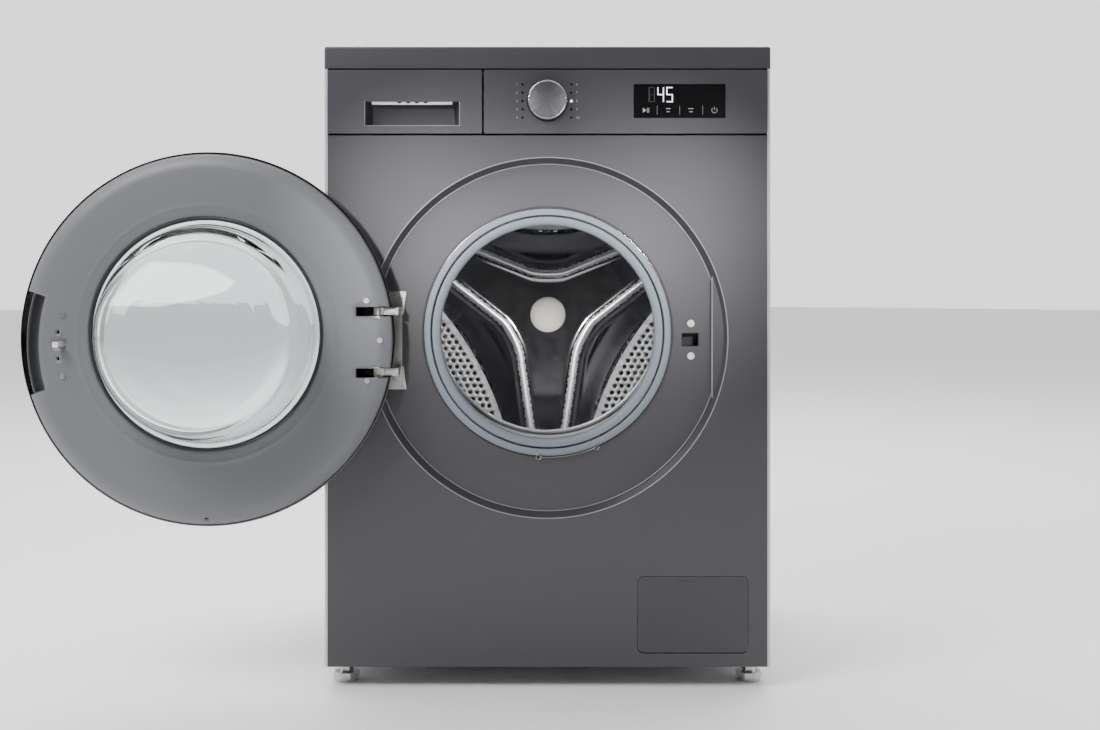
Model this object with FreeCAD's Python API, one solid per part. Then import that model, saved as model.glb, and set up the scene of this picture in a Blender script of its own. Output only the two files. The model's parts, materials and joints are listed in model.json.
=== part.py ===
import FreeCAD, Part
import math, os

# Front load washing machine. Millimetres, +Z up, +Y towards the back.
# The origin is on the floor, midway between the four feet.

V = FreeCAD.Vector

# ---- overall sizes ---------------------------------------------------------
CAB_W = 600.0            # cabinet width
CAB_D = 530.0            # cabinet depth, front sheet to rear cover
CAB_H = 862.0            # height to the top of the top plate
FLOOR_GAP = 28.0         # floor to the base tray
SHEET = 1.0              # cabinet sheet steel
GAP = 0.5                # gap line between neighbouring panels
TOP_T = 29.5             # top plate thickness
FASCIA_H = 86.0          # height of the control panel band
CORNER_R = 4.5           # rounded front corners of the side panels

FRONT = -CAB_D / 2       # front plane
REAR = CAB_D / 2 - 3     # rear sheet's outer face
HALF = CAB_W / 2
TOP_Z = CAB_H - TOP_T
FASCIA_Z1 = TOP_Z - 2.0
FASCIA_Z0 = FASCIA_Z1 - FASCIA_H
PANEL_Z1 = FASCIA_Z0 - 2.0
FASCIA_Y = FRONT - 2.0   # the control band stands proud of the front sheet
TRAY_WALL = 1.5          # base tray steel

# ---- door recess and opening -------------------------------------------------
RING_Z = 470.5           # centre of the door and of its recess
RING_R = 242.5           # recess rim
FLOOR_R = 235.0          # recess floor
RECESS = 14.0            # recess depth
SCOOP_X = 222.0          # flat edge of the finger scoop
OPEN_UP = 7.5            # opening centre above the recess centre
MOUTH_Z = RING_Z + OPEN_UP
PANEL_HOLE_R = 160.0

# ---- tub and drum --------------------------------------------------------------
AXIS_Z = MOUTH_Z + 14.0  # drum axis
DRUM_R = 240.0           # drum, inner
TUB_R = DRUM_R + 16.0    # tub, inner
TUB_WALL = 4.0
TUB_SPLIT = 200.0        # depth of the joint between the tub halves
TUB_REAR = CAB_D - 122.0  # depth of the tub's rear wall
EAR_N, EAR_TURN = 12, 8  # screw ears round the tub's joint
EAR_R = TUB_R + TUB_WALL + 5.0
HEATER_R = DRUM_R + 8.4  # the heater lies between drum and tub
HEATER_TURN = 5.0
HEATER_D = TUB_SPLIT + 60.0
DRUM_MOUTH_R = 155.0
DRUM_BACK = TUB_REAR - 25.0
STAR_HUB_R, STAR_ARM, STAR_HIGH = 56.0, 33.0, 27.0
STAR_KNEE, STAR_END = 88.0, 138.0
HUB_CAP_R = 28.0
LIFTER_D = 118.0         # depth where the lifters start
NECK_R = 165.0
SHAFT_R = 12.5
BEARING_R = 26.0
RUN = 0.05               # running clearance, radial
FILL_X, FILL_D = -200.0, 160.0
FILL_R = 13.5

# ---- door ----------------------------------------------------------------------
DOOR_R = 246.5
HINGE_X = -223.6
HINGE_Y = FRONT - 22.0
PIN_R = 4.0
HINGE_SCREW_X = HINGE_X + 15.0
HINGE_SCREW_UP = 16.0    # past each hinge arm
GLASS_UP = 7.3           # glass centre above the door's centre
GLASS_HOLE_R = 152.7
ARM_REACH = 26.0         # from the pin to the far side of a hinge arm
ARM_T = 6.0
ARM_H = 10.0
ARM_Z = (RING_Z - 44.0, RING_Z + 36.5)
HOOK_X = 189.5
HOOK_Z = RING_Z - 6.0
LOCK_X = 193.0
LOCK_Z = RING_Z - 3.0
LOCK_W, LOCK_H = 12.0, 9.5   # half sizes of the lock's cutout
LOCK_SCREW_X = LOCK_X + 1.0
LOCK_SCREW_UP = 22.0
HOOK_PIVOT_Y = FRONT - 22.0
HOOK_PIN_R = 1.5

# ---- drawer, knob, display --------------------------------------------------------
DRAWER_X1 = -HALF + 212.0
DRAWER_TRAVEL = 200.0
TRAY_L = 230.0
TRAY_IN = 12.0           # tray side to the drawer front's side
TRAY_UP = 17.0
MAIN_CELL_W, SOFT_CELL_W = 67.7, 60.2
SOFT_BACK = 58.0         # depth of the siphon cell
GRIP_X0, GRIP_X1 = 50.0, 30.0
GRIP_Z0, GRIP_Z1 = 10.5, 43.0
KNOB_R = 26.5
KNOB_SHAFT_R = 3.0
MID_Z = FASCIA_Z0 + 44.0
LAMP_PITCH = 11.15
LAMP_X = (-33.6, 32.0)
WIN_X0, WIN_W, WIN_H = 115.3, 124.0, 46.2

# ---- service door, pump, feet -------------------------------------------------------
SERV_X0, SERV_W, SERV_Z0, SERV_H, SERV_R = 120.6, 149.3, 47.3, 103.0, 8.9
SERV_PIVOT_UP, SERV_PIVOT_IN, SERV_PIN_R = 12.0, 2.5, 1.5
SERV_DROP = 0.9          # the cutout reaches lower than the flap
PUMP_X, PUMP_Z = 160.0, 95.0
FILTER_R = 28.0
PUMP_WALL = 5.0
CHAMBER_D, CHAMBER_L = 66.0, 32.0
PUMP_Y = FRONT + 28.0    # mouth of the pump
FOOT_X, FOOT_Y = HALF - 24.0, CAB_D / 2 - 45.0
FOOT_R = 16.0
STUD_R = 5.0
DAMPER_X, DAMPER_D = 190.0, 285.0
SPRING_X, SPRING_D = HALF - 17.0, 305.0
SPRING_TOP = TOP_Z - 16.0
SPRING_BOTTOM = AXIS_Z + 70.0

# ---- rear -------------------------------------------------------------------------
INLET_X, INLET_Z = -200.0, TOP_Z - 34.0
INLET_R = 13.2
OUTLET_X, OUTLET_Z = HALF - 38.0, AXIS_Z + 200.0
GLAND_X, GLAND_Z = HALF - 60.0, TOP_Z - 70.0
COVER_R, COVER_HOLE_R, COVER_Z = 218.0, 205.0, AXIS_Z - 5.0
COVER_SCREWS = 6


# ---- helpers ---------------------------------------------------------------------
def box(x0, x1, y0, y1, z0, z1):
    return Part.makeBox(x1 - x0, y1 - y0, z1 - z0, V(x0, y0, z0))


def rod(r, a, b):
    a, b = V(*a), V(*b)
    return Part.makeCylinder(r, (b - a).Length, a, b - a)


def tube(ro, ri, a, b):
    return rod(ro, a, b).cut(rod(ri, a, b))


def lathe(points, z=None, y0=FRONT, x=0.0):
    """Ring turned about a Y axis: points are (radius, depth behind y0)."""
    z = AXIS_Z if z is None else z
    pts = [V(x + r, y0 + d, z) for r, d in points]
    face = Part.Face(Part.makePolygon(pts + [pts[0]]))
    return face.revolve(V(x, 0, z), V(0, 1, 0), 360)


def prism_y(points, y0, y1):
    pts = [V(x, y0, z) for x, z in points]
    return Part.Face(Part.makePolygon(pts + [pts[0]])).extrude(V(0, y1 - y0, 0))


def prism_z(points, z0, z1):
    pts = [V(x, y, z0) for x, y in points]
    return Part.Face(Part.makePolygon(pts + [pts[0]])).extrude(V(0, 0, z1 - z0))


def polygon(n, r, turn=0.0):
    return [(r * math.cos(math.radians(turn + 360.0 * i / n)),
             r * math.sin(math.radians(turn + 360.0 * i / n))) for i in range(n)]


def fuse(*shapes):
    out = shapes[0].multiFuse(list(shapes[1:])) if len(shapes) > 1 else shapes[0]
    return out.removeSplitter()


def cut(shape, *tools):
    return shape.cut(list(tools)) if tools else shape


def soft_box(x0, x1, y0, y1, z0, z1, r, axis="y"):
    """Box with four rounded edges along one axis."""
    b = box(x0, x1, y0, y1, z0, z1)
    way = {"x": V(1, 0, 0), "y": V(0, 1, 0), "z": V(0, 0, 1)}[axis]
    edges = [e for e in b.Edges
             if abs(abs(e.tangentAt(e.FirstParameter).dot(way)) - 1) < 1e-6]
    return b.makeFillet(r, edges)


def group(*shapes):
    """Several separate solids as one node."""
    return Part.makeCompound([solid for shape in shapes for solid in shape.Solids])


def around(shape, n, z=None, start=0.0):
    """Copies of a shape turned about the Y axis at height z."""
    z = AXIS_Z if z is None else z
    out = []
    for i in range(n):
        c = shape.copy()
        c.rotate(V(0, 0, z), V(0, 1, 0), start + 360.0 * i / n)
        out.append(c)
    return out


def mirror_x(shape):
    return shape.mirror(V(0, 0, 0), V(1, 0, 0))


def opened(shape):
    """Moves a door piece from its closed place to the open rest pose."""
    s = shape.copy()
    s.rotate(V(HINGE_X, HINGE_Y, 0), V(0, 0, 1), -180)
    return s


def d(depth):
    return FRONT + depth


# ---- cabinet ---------------------------------------------------------------------
def side_panel():
    x0 = -HALF
    outer = box(x0, x0 + CORNER_R, FRONT, REAR, FLOOR_GAP, TOP_Z - 0.3)
    edge = [e for e in outer.Edges if abs(e.CenterOfMass.x - x0) < 1e-6
            and abs(e.CenterOfMass.y - FRONT) < 1e-6]
    outer = outer.makeFillet(CORNER_R - 0.6, edge)
    inner = box(x0 + SHEET, x0 + CORNER_R - SHEET, FRONT + SHEET, REAR + 1,
                FLOOR_GAP - 1, TOP_Z + 1)
    edge = [e for e in inner.Edges if abs(e.CenterOfMass.x - x0 - SHEET) < 1e-6
            and abs(e.CenterOfMass.y - FRONT - SHEET) < 1e-6]
    inner = inner.makeFillet(1.0, edge)
    open_back = box(x0 + SHEET, x0 + CORNER_R + 1, FRONT + 16, REAR + 1,
                    FLOOR_GAP - 1, TOP_Z + 1)
    return cut(outer, inner, open_back)


def front_panel():
    w = HALF - CORNER_R - 0.3
    sheet = box(-w, w, FRONT, FRONT + SHEET, FLOOR_GAP + 0.5, PANEL_Z1)
    flanges = [box(s * w - (SHEET if s > 0 else 0), s * w + (SHEET if s < 0 else 0),
                   FRONT, FRONT + 18, FLOOR_GAP + 5, PANEL_Z1) for s in (-1, 1)]
    flanges.append(box(-w, w, FRONT, FRONT + 18, PANEL_Z1 - SHEET, PANEL_Z1))
    flanges.append(box(-w, w, FRONT, FRONT + 12, FLOOR_GAP + 5, FLOOR_GAP + 5 + SHEET))
    dish = lathe([(0, 0), (RING_R + 1.2, 0), (FLOOR_R + 1.2, RECESS + SHEET),
                  (0, RECESS + SHEET)], RING_Z)
    hollow = lathe([(0, -2), (RING_R + 1.0, -2), (RING_R, 0), (FLOOR_R, RECESS),
                    (0, RECESS)], RING_Z)
    hollow = hollow.common(box(-300, SCOOP_X, FRONT - 3, FRONT + 30, 0, 900))
    scoop = lathe([(0, -2), (RING_R + 1.0, -2), (RING_R, 0), (RING_R - 5, 8), (0, 8)], RING_Z)
    scoop = scoop.common(box(SCOOP_X - 1, 260, FRONT - 3, FRONT + 9, 0, 900))
    body = fuse(sheet, dish, *flanges)
    body = cut(body, hollow, scoop)
    collar = tube(PANEL_HOLE_R + SHEET, PANEL_HOLE_R, (0, d(RECESS), MOUTH_Z),
                  (0, d(RECESS + 8), MOUTH_Z))
    body = fuse(body, collar)
    z_low = SERV_Z0 - SERV_DROP
    z_pin, y_pin = SERV_Z0 + SERV_PIVOT_UP, FRONT + SERV_PIVOT_IN
    lugs = []
    for xa, xb in ((SERV_X0 - 4.0, SERV_X0 - 0.4),
                   (SERV_X0 + SERV_W + 0.4, SERV_X0 + SERV_W + 4.0)):
        lugs.append(box(xa, xb, FRONT + 0.5, FRONT + 5, z_pin - 4, z_pin + 4))
    body = fuse(body, *lugs)
    window = soft_box(SERV_X0, SERV_X0 + SERV_W, FRONT - 2, FRONT + SHEET + 0.01, z_low,
                      SERV_Z0 + SERV_H, SERV_R)
    pin = rod(SERV_PIN_R + RUN, (SERV_X0 - 6, y_pin, z_pin), (SERV_X0 + SERV_W + 6, y_pin, z_pin))
    tools = [rod(PANEL_HOLE_R, (0, FRONT - 5, MOUTH_Z), (0, FRONT + 60, MOUTH_Z)), window, pin,
             box(LOCK_X - LOCK_W, LOCK_X + LOCK_W, FRONT, FRONT + 30, LOCK_Z - LOCK_H,
                 LOCK_Z + LOCK_H)]
    for z in (LOCK_Z - LOCK_SCREW_UP, LOCK_Z + LOCK_SCREW_UP):
        tools.append(rod(2.3, (LOCK_SCREW_X, FRONT, z), (LOCK_SCREW_X, FRONT + 30, z)))
    for z in (ARM_Z[0] - HINGE_SCREW_UP, ARM_Z[1] + HINGE_SCREW_UP):
        tools.append(rod(2.3, (HINGE_SCREW_X, FRONT, z), (HINGE_SCREW_X, FRONT + 30, z)))
    return cut(body, *tools)


def control_panel():
    x0, x1 = DRAWER_X1 + 2.5, HALF - CORNER_R - 0.3
    y0 = FASCIA_Y
    body = soft_box(x0, x1, y0, y0 + 26, FASCIA_Z0 + GAP, FASCIA_Z1, 1.5)
    body = cut(body, box(x0 + 2.5, x1 - 2.5, y0 + 3, y0 + 27, FASCIA_Z0 + 3, FASCIA_Z1 - 2.5))
    z = MID_Z
    win = box(WIN_X0, WIN_X0 + WIN_W, y0 - 1, y0 + 1.6, z - WIN_H / 2, z + WIN_H / 2)
    win2 = box(WIN_X0 + 4, WIN_X0 + WIN_W - 4, y0 - 1, y0 + 5, z - WIN_H / 2 + 4,
               z + WIN_H / 2 - 4)
    tools = [win, win2, rod(KNOB_SHAFT_R + RUN, (0, y0 - 1, z), (0, y0 + 5, z)),
             rod(KNOB_R + 1, (0, y0 - 1, z), (0, y0 + 0.8, z))]
    for x in LAMP_X:
        for i in range(5):
            zl = z + (i - 2) * LAMP_PITCH
            tools.append(rod(1.75, (x, y0 - 1, zl), (x, y0 + 5, zl)))
    return cut(body, *tools)


def display_window():
    z, y0 = MID_Z, FASCIA_Y
    return box(WIN_X0 + 0.3, WIN_X0 + WIN_W - 0.3, y0 - 0.2, y0 + 1.5,
               z - WIN_H / 2 + 0.3, z + WIN_H / 2 - 0.3)


def indicator_lamps():
    y0 = FASCIA_Y
    lamps = []
    for x in LAMP_X:
        for i in range(5):
            z = MID_Z + (i - 2) * LAMP_PITCH
            lamps.append(rod(1.7, (x, y0 - 0.1, z), (x, y0 + 12, z)))
    return Part.makeCompound(lamps)


def control_board():
    y0 = FASCIA_Y
    z = MID_Z
    board = box(-60, 255, y0 + 12.2, y0 + 13.8, z - 30, z + 30)
    encoder = box(-8, 8, y0 + 4, y0 + 12.2, z - 8, z + 8)
    screen = box(WIN_X0 + 8, WIN_X0 + WIN_W - 8, y0 + 4, y0 + 12.2, z - 15, z + 15)
    coil = box(70, 90, y0 + 13.8, y0 + 22, z - 12, z + 12)
    post = [rod(3, (x, y0 + 3.0, z + s * 26), (x, y0 + 12.2, z + s * 26))
            for x in (-52, 100, 248) for s in (-1, 1)]
    body = fuse(board, encoder, screen, coil, *post)
    return cut(body, rod(KNOB_SHAFT_R + RUN, (0, y0, z), (0, y0 + 20, z)))


def top_plate():
    body = box(-HALF, HALF, FRONT - 1, REAR + 3, TOP_Z, CAB_H)
    edges = [e for e in body.Edges if abs(e.CenterOfMass.z - CAB_H) < 1e-6]
    edges += [e for e in body.Edges
              if abs(abs(e.tangentAt(e.FirstParameter).z) - 1) < 1e-6]
    body = body.makeFillet(3.0, edges)
    return cut(body, box(-HALF + 16, HALF - 16, FRONT + 16, REAR - 12, TOP_Z - 1, TOP_Z + 12))


def top_frame():
    z1 = TOP_Z - 1.0
    z0 = z1 - 3.0
    w = HALF - SHEET - 0.2
    bar = [box(-w, w, FRONT + 26, FRONT + 50, z0, z1), box(-w, w, REAR - 30, REAR - 4, z0, z1)]
    for s in (-1, 1):
        xa, xb = sorted((s * w, s * (w - 38)))
        bar.append(box(xa, xb, FRONT + 26, REAR - 4, z0, z1))
        xs = s * SPRING_X
        bar.append(box(xs - 6, xs + 6, d(SPRING_D) - 6, d(SPRING_D) + 6, z0 - 12, z0))
    body = fuse(*bar)
    holes = [rod(1.8, (s * SPRING_X, d(SPRING_D), z0 - 13), (s * SPRING_X, d(SPRING_D), z1 + 1))
             for s in (-1, 1)]
    return cut(body, *holes)


def base_frame():
    w = HALF - SHEET - 0.2
    tray = box(-w, w, FRONT + 16.3, REAR - 2, FLOOR_GAP, FLOOR_GAP + TRAY_WALL)
    walls = []
    for s in (-1, 1):
        xa, xb = sorted((s * w, s * (w - TRAY_WALL)))
        walls.append(box(xa, xb, FRONT + 20, REAR - 2, FLOOR_GAP, FLOOR_GAP + 40))
        for e in (-1, 1):
            walls.append(box(s * FOOT_X - 20, s * FOOT_X + 20, e * FOOT_Y - 20, e * FOOT_Y + 20,
                             FLOOR_GAP, FLOOR_GAP + 5))
    walls.append(box(-w, w, REAR - 2 - TRAY_WALL, REAR - 2, FLOOR_GAP, FLOOR_GAP + 40))
    for x in (-DAMPER_X, DAMPER_X):
        walls.append(box(x - 2, x + 2, FRONT + 20, REAR - 2, FLOOR_GAP, FLOOR_GAP + 16))
    body = fuse(tray, *walls)
    tools = [rod(STUD_R + RUN, (s * FOOT_X, e * FOOT_Y, 0), (s * FOOT_X, e * FOOT_Y, 100))
             for s in (-1, 1) for e in (-1, 1)]
    for i in range(3):
        x = -150 + i * 100
        tools.append(soft_box(x, x + 60, d(120), d(420), FLOOR_GAP - 2, FLOOR_GAP + 3, 12, "z"))
    return cut(body, *tools)


def rear_panel():
    w = HALF - SHEET - 0.2
    sheet = box(-w, w, REAR - 1.8, REAR - 0.8, FLOOR_GAP + 2, TOP_Z - 0.3)
    tools = [rod(COVER_HOLE_R, (0, 0, COVER_Z), (0, 400, COVER_Z))]
    for x, z in cap_places():
        tools.append(rod(10, (x, 0, z), (x, 400, z)))
    for r, x, z in ((INLET_R + 1.3, INLET_X, INLET_Z), (12.5, OUTLET_X, OUTLET_Z),
                    (9.0, GLAND_X, GLAND_Z)):
        tools.append(rod(r, (x, 0, z), (x, 400, z)))
    for i in range(6):
        z = FLOOR_GAP + 60 + 12 * i
        tools.append(soft_box(-60, 60, 0, 400, z, z + 5, 2.4))
    return cut(sheet, *tools)


def cap_places():
    return [(s * (HALF - 60), AXIS_Z + e) for s in (-1, 1) for e in (-190, 165)]


def rear_cover():
    y0 = REAR - 0.6
    r = COVER_R
    body = lathe([(0, 0), (r, 0), (r, 1.0), (r - 18, 1.0), (r - 24, 3.4), (0, 3.4)],
                 COVER_Z, y0)
    hollow = lathe([(0, -1), (r - 19, -1), (r - 19, 0.2), (r - 25, 2.4), (0, 2.4)],
                   COVER_Z, y0)
    rings = lathe([(120, 3.0), (128, 3.0), (128, 3.6), (120, 3.6)], COVER_Z, y0)
    return fuse(cut(body, hollow), rings)


def transit_caps():
    y0 = REAR - 0.7
    caps = []
    for x, z in cap_places():
        caps.append(fuse(rod(17, (x, y0, z), (x, y0 + 3, z)), rod(9.8, (x, y0 - 9, z), (x, y0, z))))
    return Part.makeCompound(caps)


def cabinet_screws():
    heads = []
    y0 = REAR + 0.5
    for i in range(COVER_SCREWS):
        a = math.radians(30 + 360.0 * i / COVER_SCREWS)
        x, z = (COVER_R - 9) * math.cos(a), COVER_Z + (COVER_R - 9) * math.sin(a)
        heads.append(rod(4, (x, y0, z), (x, y0 + 2.2, z)))
    for z in (ARM_Z[0] - HINGE_SCREW_UP, ARM_Z[1] + HINGE_SCREW_UP):
        x = HINGE_SCREW_X
        heads.append(fuse(rod(4.2, (x, d(RECESS) - 4.4, z), (x, d(RECESS) - 2.6, z)),
                          rod(2.1, (x, d(RECESS) - 2.6, z), (x, d(RECESS) + 12, z))))
    return Part.makeCompound(heads)


def inlet_valve():
    x, z = INLET_X, INLET_Z
    y1 = REAR - 1.8
    body = soft_box(x - 22, x + 22, y1 - 42, y1, z - 20, z + 20, 4)
    spigot = rod(INLET_R, (x, y1, z), (x, REAR + 13, z))
    out = rod(7, (x, y1 - 60, z), (x, y1 - 42, z))
    coil = rod(14, (x, y1 - 20, z - 40), (x, y1 - 20, z - 20))
    bore = rod(5, (x, y1 - 61, z), (x, REAR + 14, z))
    return cut(fuse(body, spigot, out, coil), bore)


def inlet_hose():
    x, z = INLET_X, INLET_Z
    return tube(10, 7.3, (x, d(284), z), (x, REAR - 44.5, z))


def drain_outlet():
    x, z = OUTLET_X, OUTLET_Z
    flange = rod(17, (x, REAR - 0.6, z), (x, REAR + 2, z))
    out = rod(10, (x, REAR + 2, z), (x, REAR + 24, z))
    inner = rod(9.5, (x, REAR - 20, z), (x, REAR, z))
    return cut(fuse(flange, out, inner), rod(7.5, (x, REAR - 25, z), (x, REAR + 30, z)))


def pipe(points, ro, ri):
    """Hose along straight runs with ball corners."""
    def path(r):
        parts = [rod(r, a, b) for a, b in zip(points, points[1:])]
        parts += [Part.makeSphere(r, V(*p)) for p in points[1:-1]]
        return fuse(*parts)
    return path(ro).cut(path(ri))


def drain_hose():
    x, z = OUTLET_X, OUTLET_Z
    y = REAR - 18
    return pipe([(PUMP_X + 56, PUMP_Y + 79, PUMP_Z), (x - 8, PUMP_Y + 79, PUMP_Z),
                 (x - 8, y - 22, PUMP_Z), (x - 8, y - 22, z), (x, y - 22, z), (x, REAR - 4, z)],
                12.2, 9.8)


def cord_gland():
    x, z = GLAND_X, GLAND_Z
    body = fuse(rod(12, (x, REAR - 0.6, z), (x, REAR + 3, z)),
                rod(8.8, (x, REAR - 10, z), (x, REAR, z)),
                rod(7, (x, REAR + 3, z), (x, REAR + 14, z)))
    return cut(body, rod(3.6, (x, REAR - 20, z), (x, REAR + 20, z)))


def main_board_case():
    x0, x1 = 130, HALF - 14
    z0, z1 = TOP_Z - 88, TOP_Z - 12
    y1 = REAR - 30
    y0 = y1 - 110
    body = soft_box(x0, x1, y0, y1, z0, z1, 5)
    body = cut(body, box(x0 + 2.5, x1 - 2.5, y0 + 2.5, y1 - 2.5, z0 + 2.5, z1 + 5))
    lid = box(x0 + 3, x1 - 3, y0 + 3, y1 - 3, z1 - 3, z1)
    board = box(x0 + 3, x1 - 3, y0 + 3, y1 - 3, z0 + 12, z0 + 13.6)
    rail = box(x1 - 18, x1 - 10, y0 + 10, y1 - 10, z1 - 3, TOP_Z - 4.2)
    return fuse(body, lid, board, rail)


def dispenser_housing():
    x0, x1 = -HALF + 7, DRAWER_X1 - 7
    z0, z1 = FASCIA_Z0 + 12, TOP_Z - 8
    y0, y1 = FRONT + 27, FRONT + 273
    body = box(x0, x1, y0, y1, z0, z1)
    sx, sy = FILL_X, d(FILL_D)
    spout = rod(FILL_R, (sx, sy, z0 - 22), (sx, sy, z0 + 1))
    back = rod(7, (INLET_X, y1, INLET_Z), (INLET_X, y1 + 24, INLET_Z))
    body = fuse(body, spout, back)
    return cut(body, box(x0 + 2, x1 - 2, y0 - 1, y1 - 2, z0 + 2, z1 - 2),
               rod(FILL_R - 2.5, (sx, sy, z0 - 30), (sx, sy, z0 + 5)),
               rod(4.5, (INLET_X, y1 - 5, INLET_Z), (INLET_X, y1 + 30, INLET_Z)))


def hose_bellows(x, y, z0, z1, ri, ro, pitch=8.0):
    """Upright corrugated hose."""
    n = int((z1 - z0) / pitch)
    body = rod(ro - 1.6, (x, y, z0), (x, y, z1))
    step = (z1 - z0) / n
    rings = [rod(ro, (x, y, z0 + step * (i + 0.25)), (x, y, z0 + step * (i + 0.75)))
             for i in range(n)]
    return cut(fuse(body, *rings), rod(ri, (x, y, z0 - 1), (x, y, z1 + 1)))


def fill_hose():
    return hose_bellows(FILL_X, d(FILL_D), AXIS_Z + 189, FASCIA_Z0 + 9, FILL_R + 0.3, 18)


def sump_hose():
    return hose_bellows(PUMP_X, PUMP_Y + 82, PUMP_Z + 45, AXIS_Z - 222, 15.3, 20)


def door_lock():
    y0 = d(RECESS) + SHEET + 0.2
    body = soft_box(LOCK_X - 16, LOCK_X + 26, y0, y0 + 26, LOCK_Z - 32, LOCK_Z + 32, 3)
    bezel = box(LOCK_X - LOCK_W + 0.2, LOCK_X + LOCK_W - 0.2, d(RECESS) + 0.1, y0,
                LOCK_Z - LOCK_H + 0.2, LOCK_Z + LOCK_H - 0.2)
    body = fuse(body, bezel)
    tools = [box(LOCK_X - LOCK_W + 1, LOCK_X + LOCK_W - 1, d(RECESS) - 1, y0 + 22,
                 LOCK_Z - LOCK_H + 1, LOCK_Z + LOCK_H - 1)]
    for z in (LOCK_Z - LOCK_SCREW_UP, LOCK_Z + LOCK_SCREW_UP):
        tools.append(rod(2.1, (LOCK_SCREW_X, y0 - 1, z), (LOCK_SCREW_X, y0 + 14, z)))
    return cut(body, *tools)


def door_lock_screws():
    out = []
    for z in (LOCK_Z - LOCK_SCREW_UP, LOCK_Z + LOCK_SCREW_UP):
        x, y = LOCK_SCREW_X, d(RECESS)
        out.append(fuse(rod(4.8, (x, y - 1.6, z), (x, y - 0.05, z)),
                        rod(3.0, (x, y - 2.4, z), (x, y - 1.6, z)),
                        rod(2.0, (x, y - 0.05, z), (x, y + 13, z))))
    return Part.makeCompound(out)


def hinge_base():
    y0 = d(RECESS) - 2.5
    x_in, x_out = HINGE_X + ARM_REACH - ARM_T, HINGE_X + ARM_REACH
    parts = []
    for z in ARM_Z:
        lo, hi = z - ARM_H / 2, z + ARM_H / 2
        parts.append(box(HINGE_X, x_out, HINGE_Y - 3.5, HINGE_Y + 3.5, lo, hi))
        parts.append(rod(PIN_R + 3.5, (HINGE_X, HINGE_Y, lo), (HINGE_X, HINGE_Y, hi)))
        parts.append(box(x_in, x_out, HINGE_Y - 3.5, y0 + 1, lo, hi))
    z0, z1 = ARM_Z
    parts.append(prism_y([(HINGE_X + 14, z0 + 5), (HINGE_X + 29, z0 + 5), (HINGE_X + 33, z0 - 26),
                          (HINGE_X + 5, z0 - 26)], y0, d(RECESS) - 0.05))
    parts.append(prism_y([(HINGE_X + 14, z1 - 5), (HINGE_X + 29, z1 - 5), (HINGE_X + 33, z1 + 26),
                          (HINGE_X + 5, z1 + 26)], y0, d(RECESS) - 0.05))
    parts.append(box(HINGE_X + 16, HINGE_X + 27, y0, d(RECESS) - 0.05, z0 - 5, z1 + 5))
    tools = [rod(PIN_R, (HINGE_X, HINGE_Y, z0 - 20), (HINGE_X, HINGE_Y, z1 + 20))]
    for z in (z0 - HINGE_SCREW_UP, z1 + HINGE_SCREW_UP):
        tools.append(rod(2.2, (HINGE_SCREW_X, FRONT, z), (HINGE_SCREW_X, FRONT + 30, z)))
    return cut(fuse(*parts), *tools)


def hinge_pin():
    z0, z1 = ARM_Z[0] - ARM_H / 2, ARM_Z[1] + ARM_H / 2
    return fuse(rod(PIN_R, (HINGE_X, HINGE_Y, z0), (HINGE_X, HINGE_Y, z1)),
                rod(PIN_R + 2, (HINGE_X, HINGE_Y, z0 - 2), (HINGE_X, HINGE_Y, z0)))


def gasket():
    front = lathe([(168, 13.8), (168, 12), (160, 9.5), (152, 9.5), (147, 14.5), (147, 34),
                   (171, 34), (171, 46), (158, 48), (158, 52), (161, 52), (161, 51),
                   (174, 49), (174, 31), (150, 31), (150, 16), (153.5, 12.5), (159.5, 12.5),
                   (159.5, 13.8)], MOUTH_Z)
    def skin(r0, r1):
        rings = [Part.Wire(Part.makeCircle(r0, V(0, d(52), MOUTH_Z), V(0, 1, 0))),
                 Part.Wire(Part.makeCircle(r1, V(0, d(67), AXIS_Z), V(0, 1, 0)))]
        return Part.makeLoft(rings, True)
    link = skin(161, NECK_R + 3.5).cut(skin(158, NECK_R + 0.4))
    collar = lathe([(NECK_R + 0.4, 67), (NECK_R + 3.5, 67), (NECK_R + 3.5, 80),
                    (NECK_R + 0.4, 80)])
    return fuse(front, link, collar)


def gasket_clamp():
    return Part.makeTorus(PANEL_HOLE_R + 5, 1.0, V(0, d(9.8), MOUTH_Z), V(0, 1, 0))


def rear_clamp():
    return lathe([(NECK_R + 3.9, 71), (NECK_R + 5.4, 71), (NECK_R + 5.4, 77), (NECK_R + 3.9, 77)])


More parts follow.
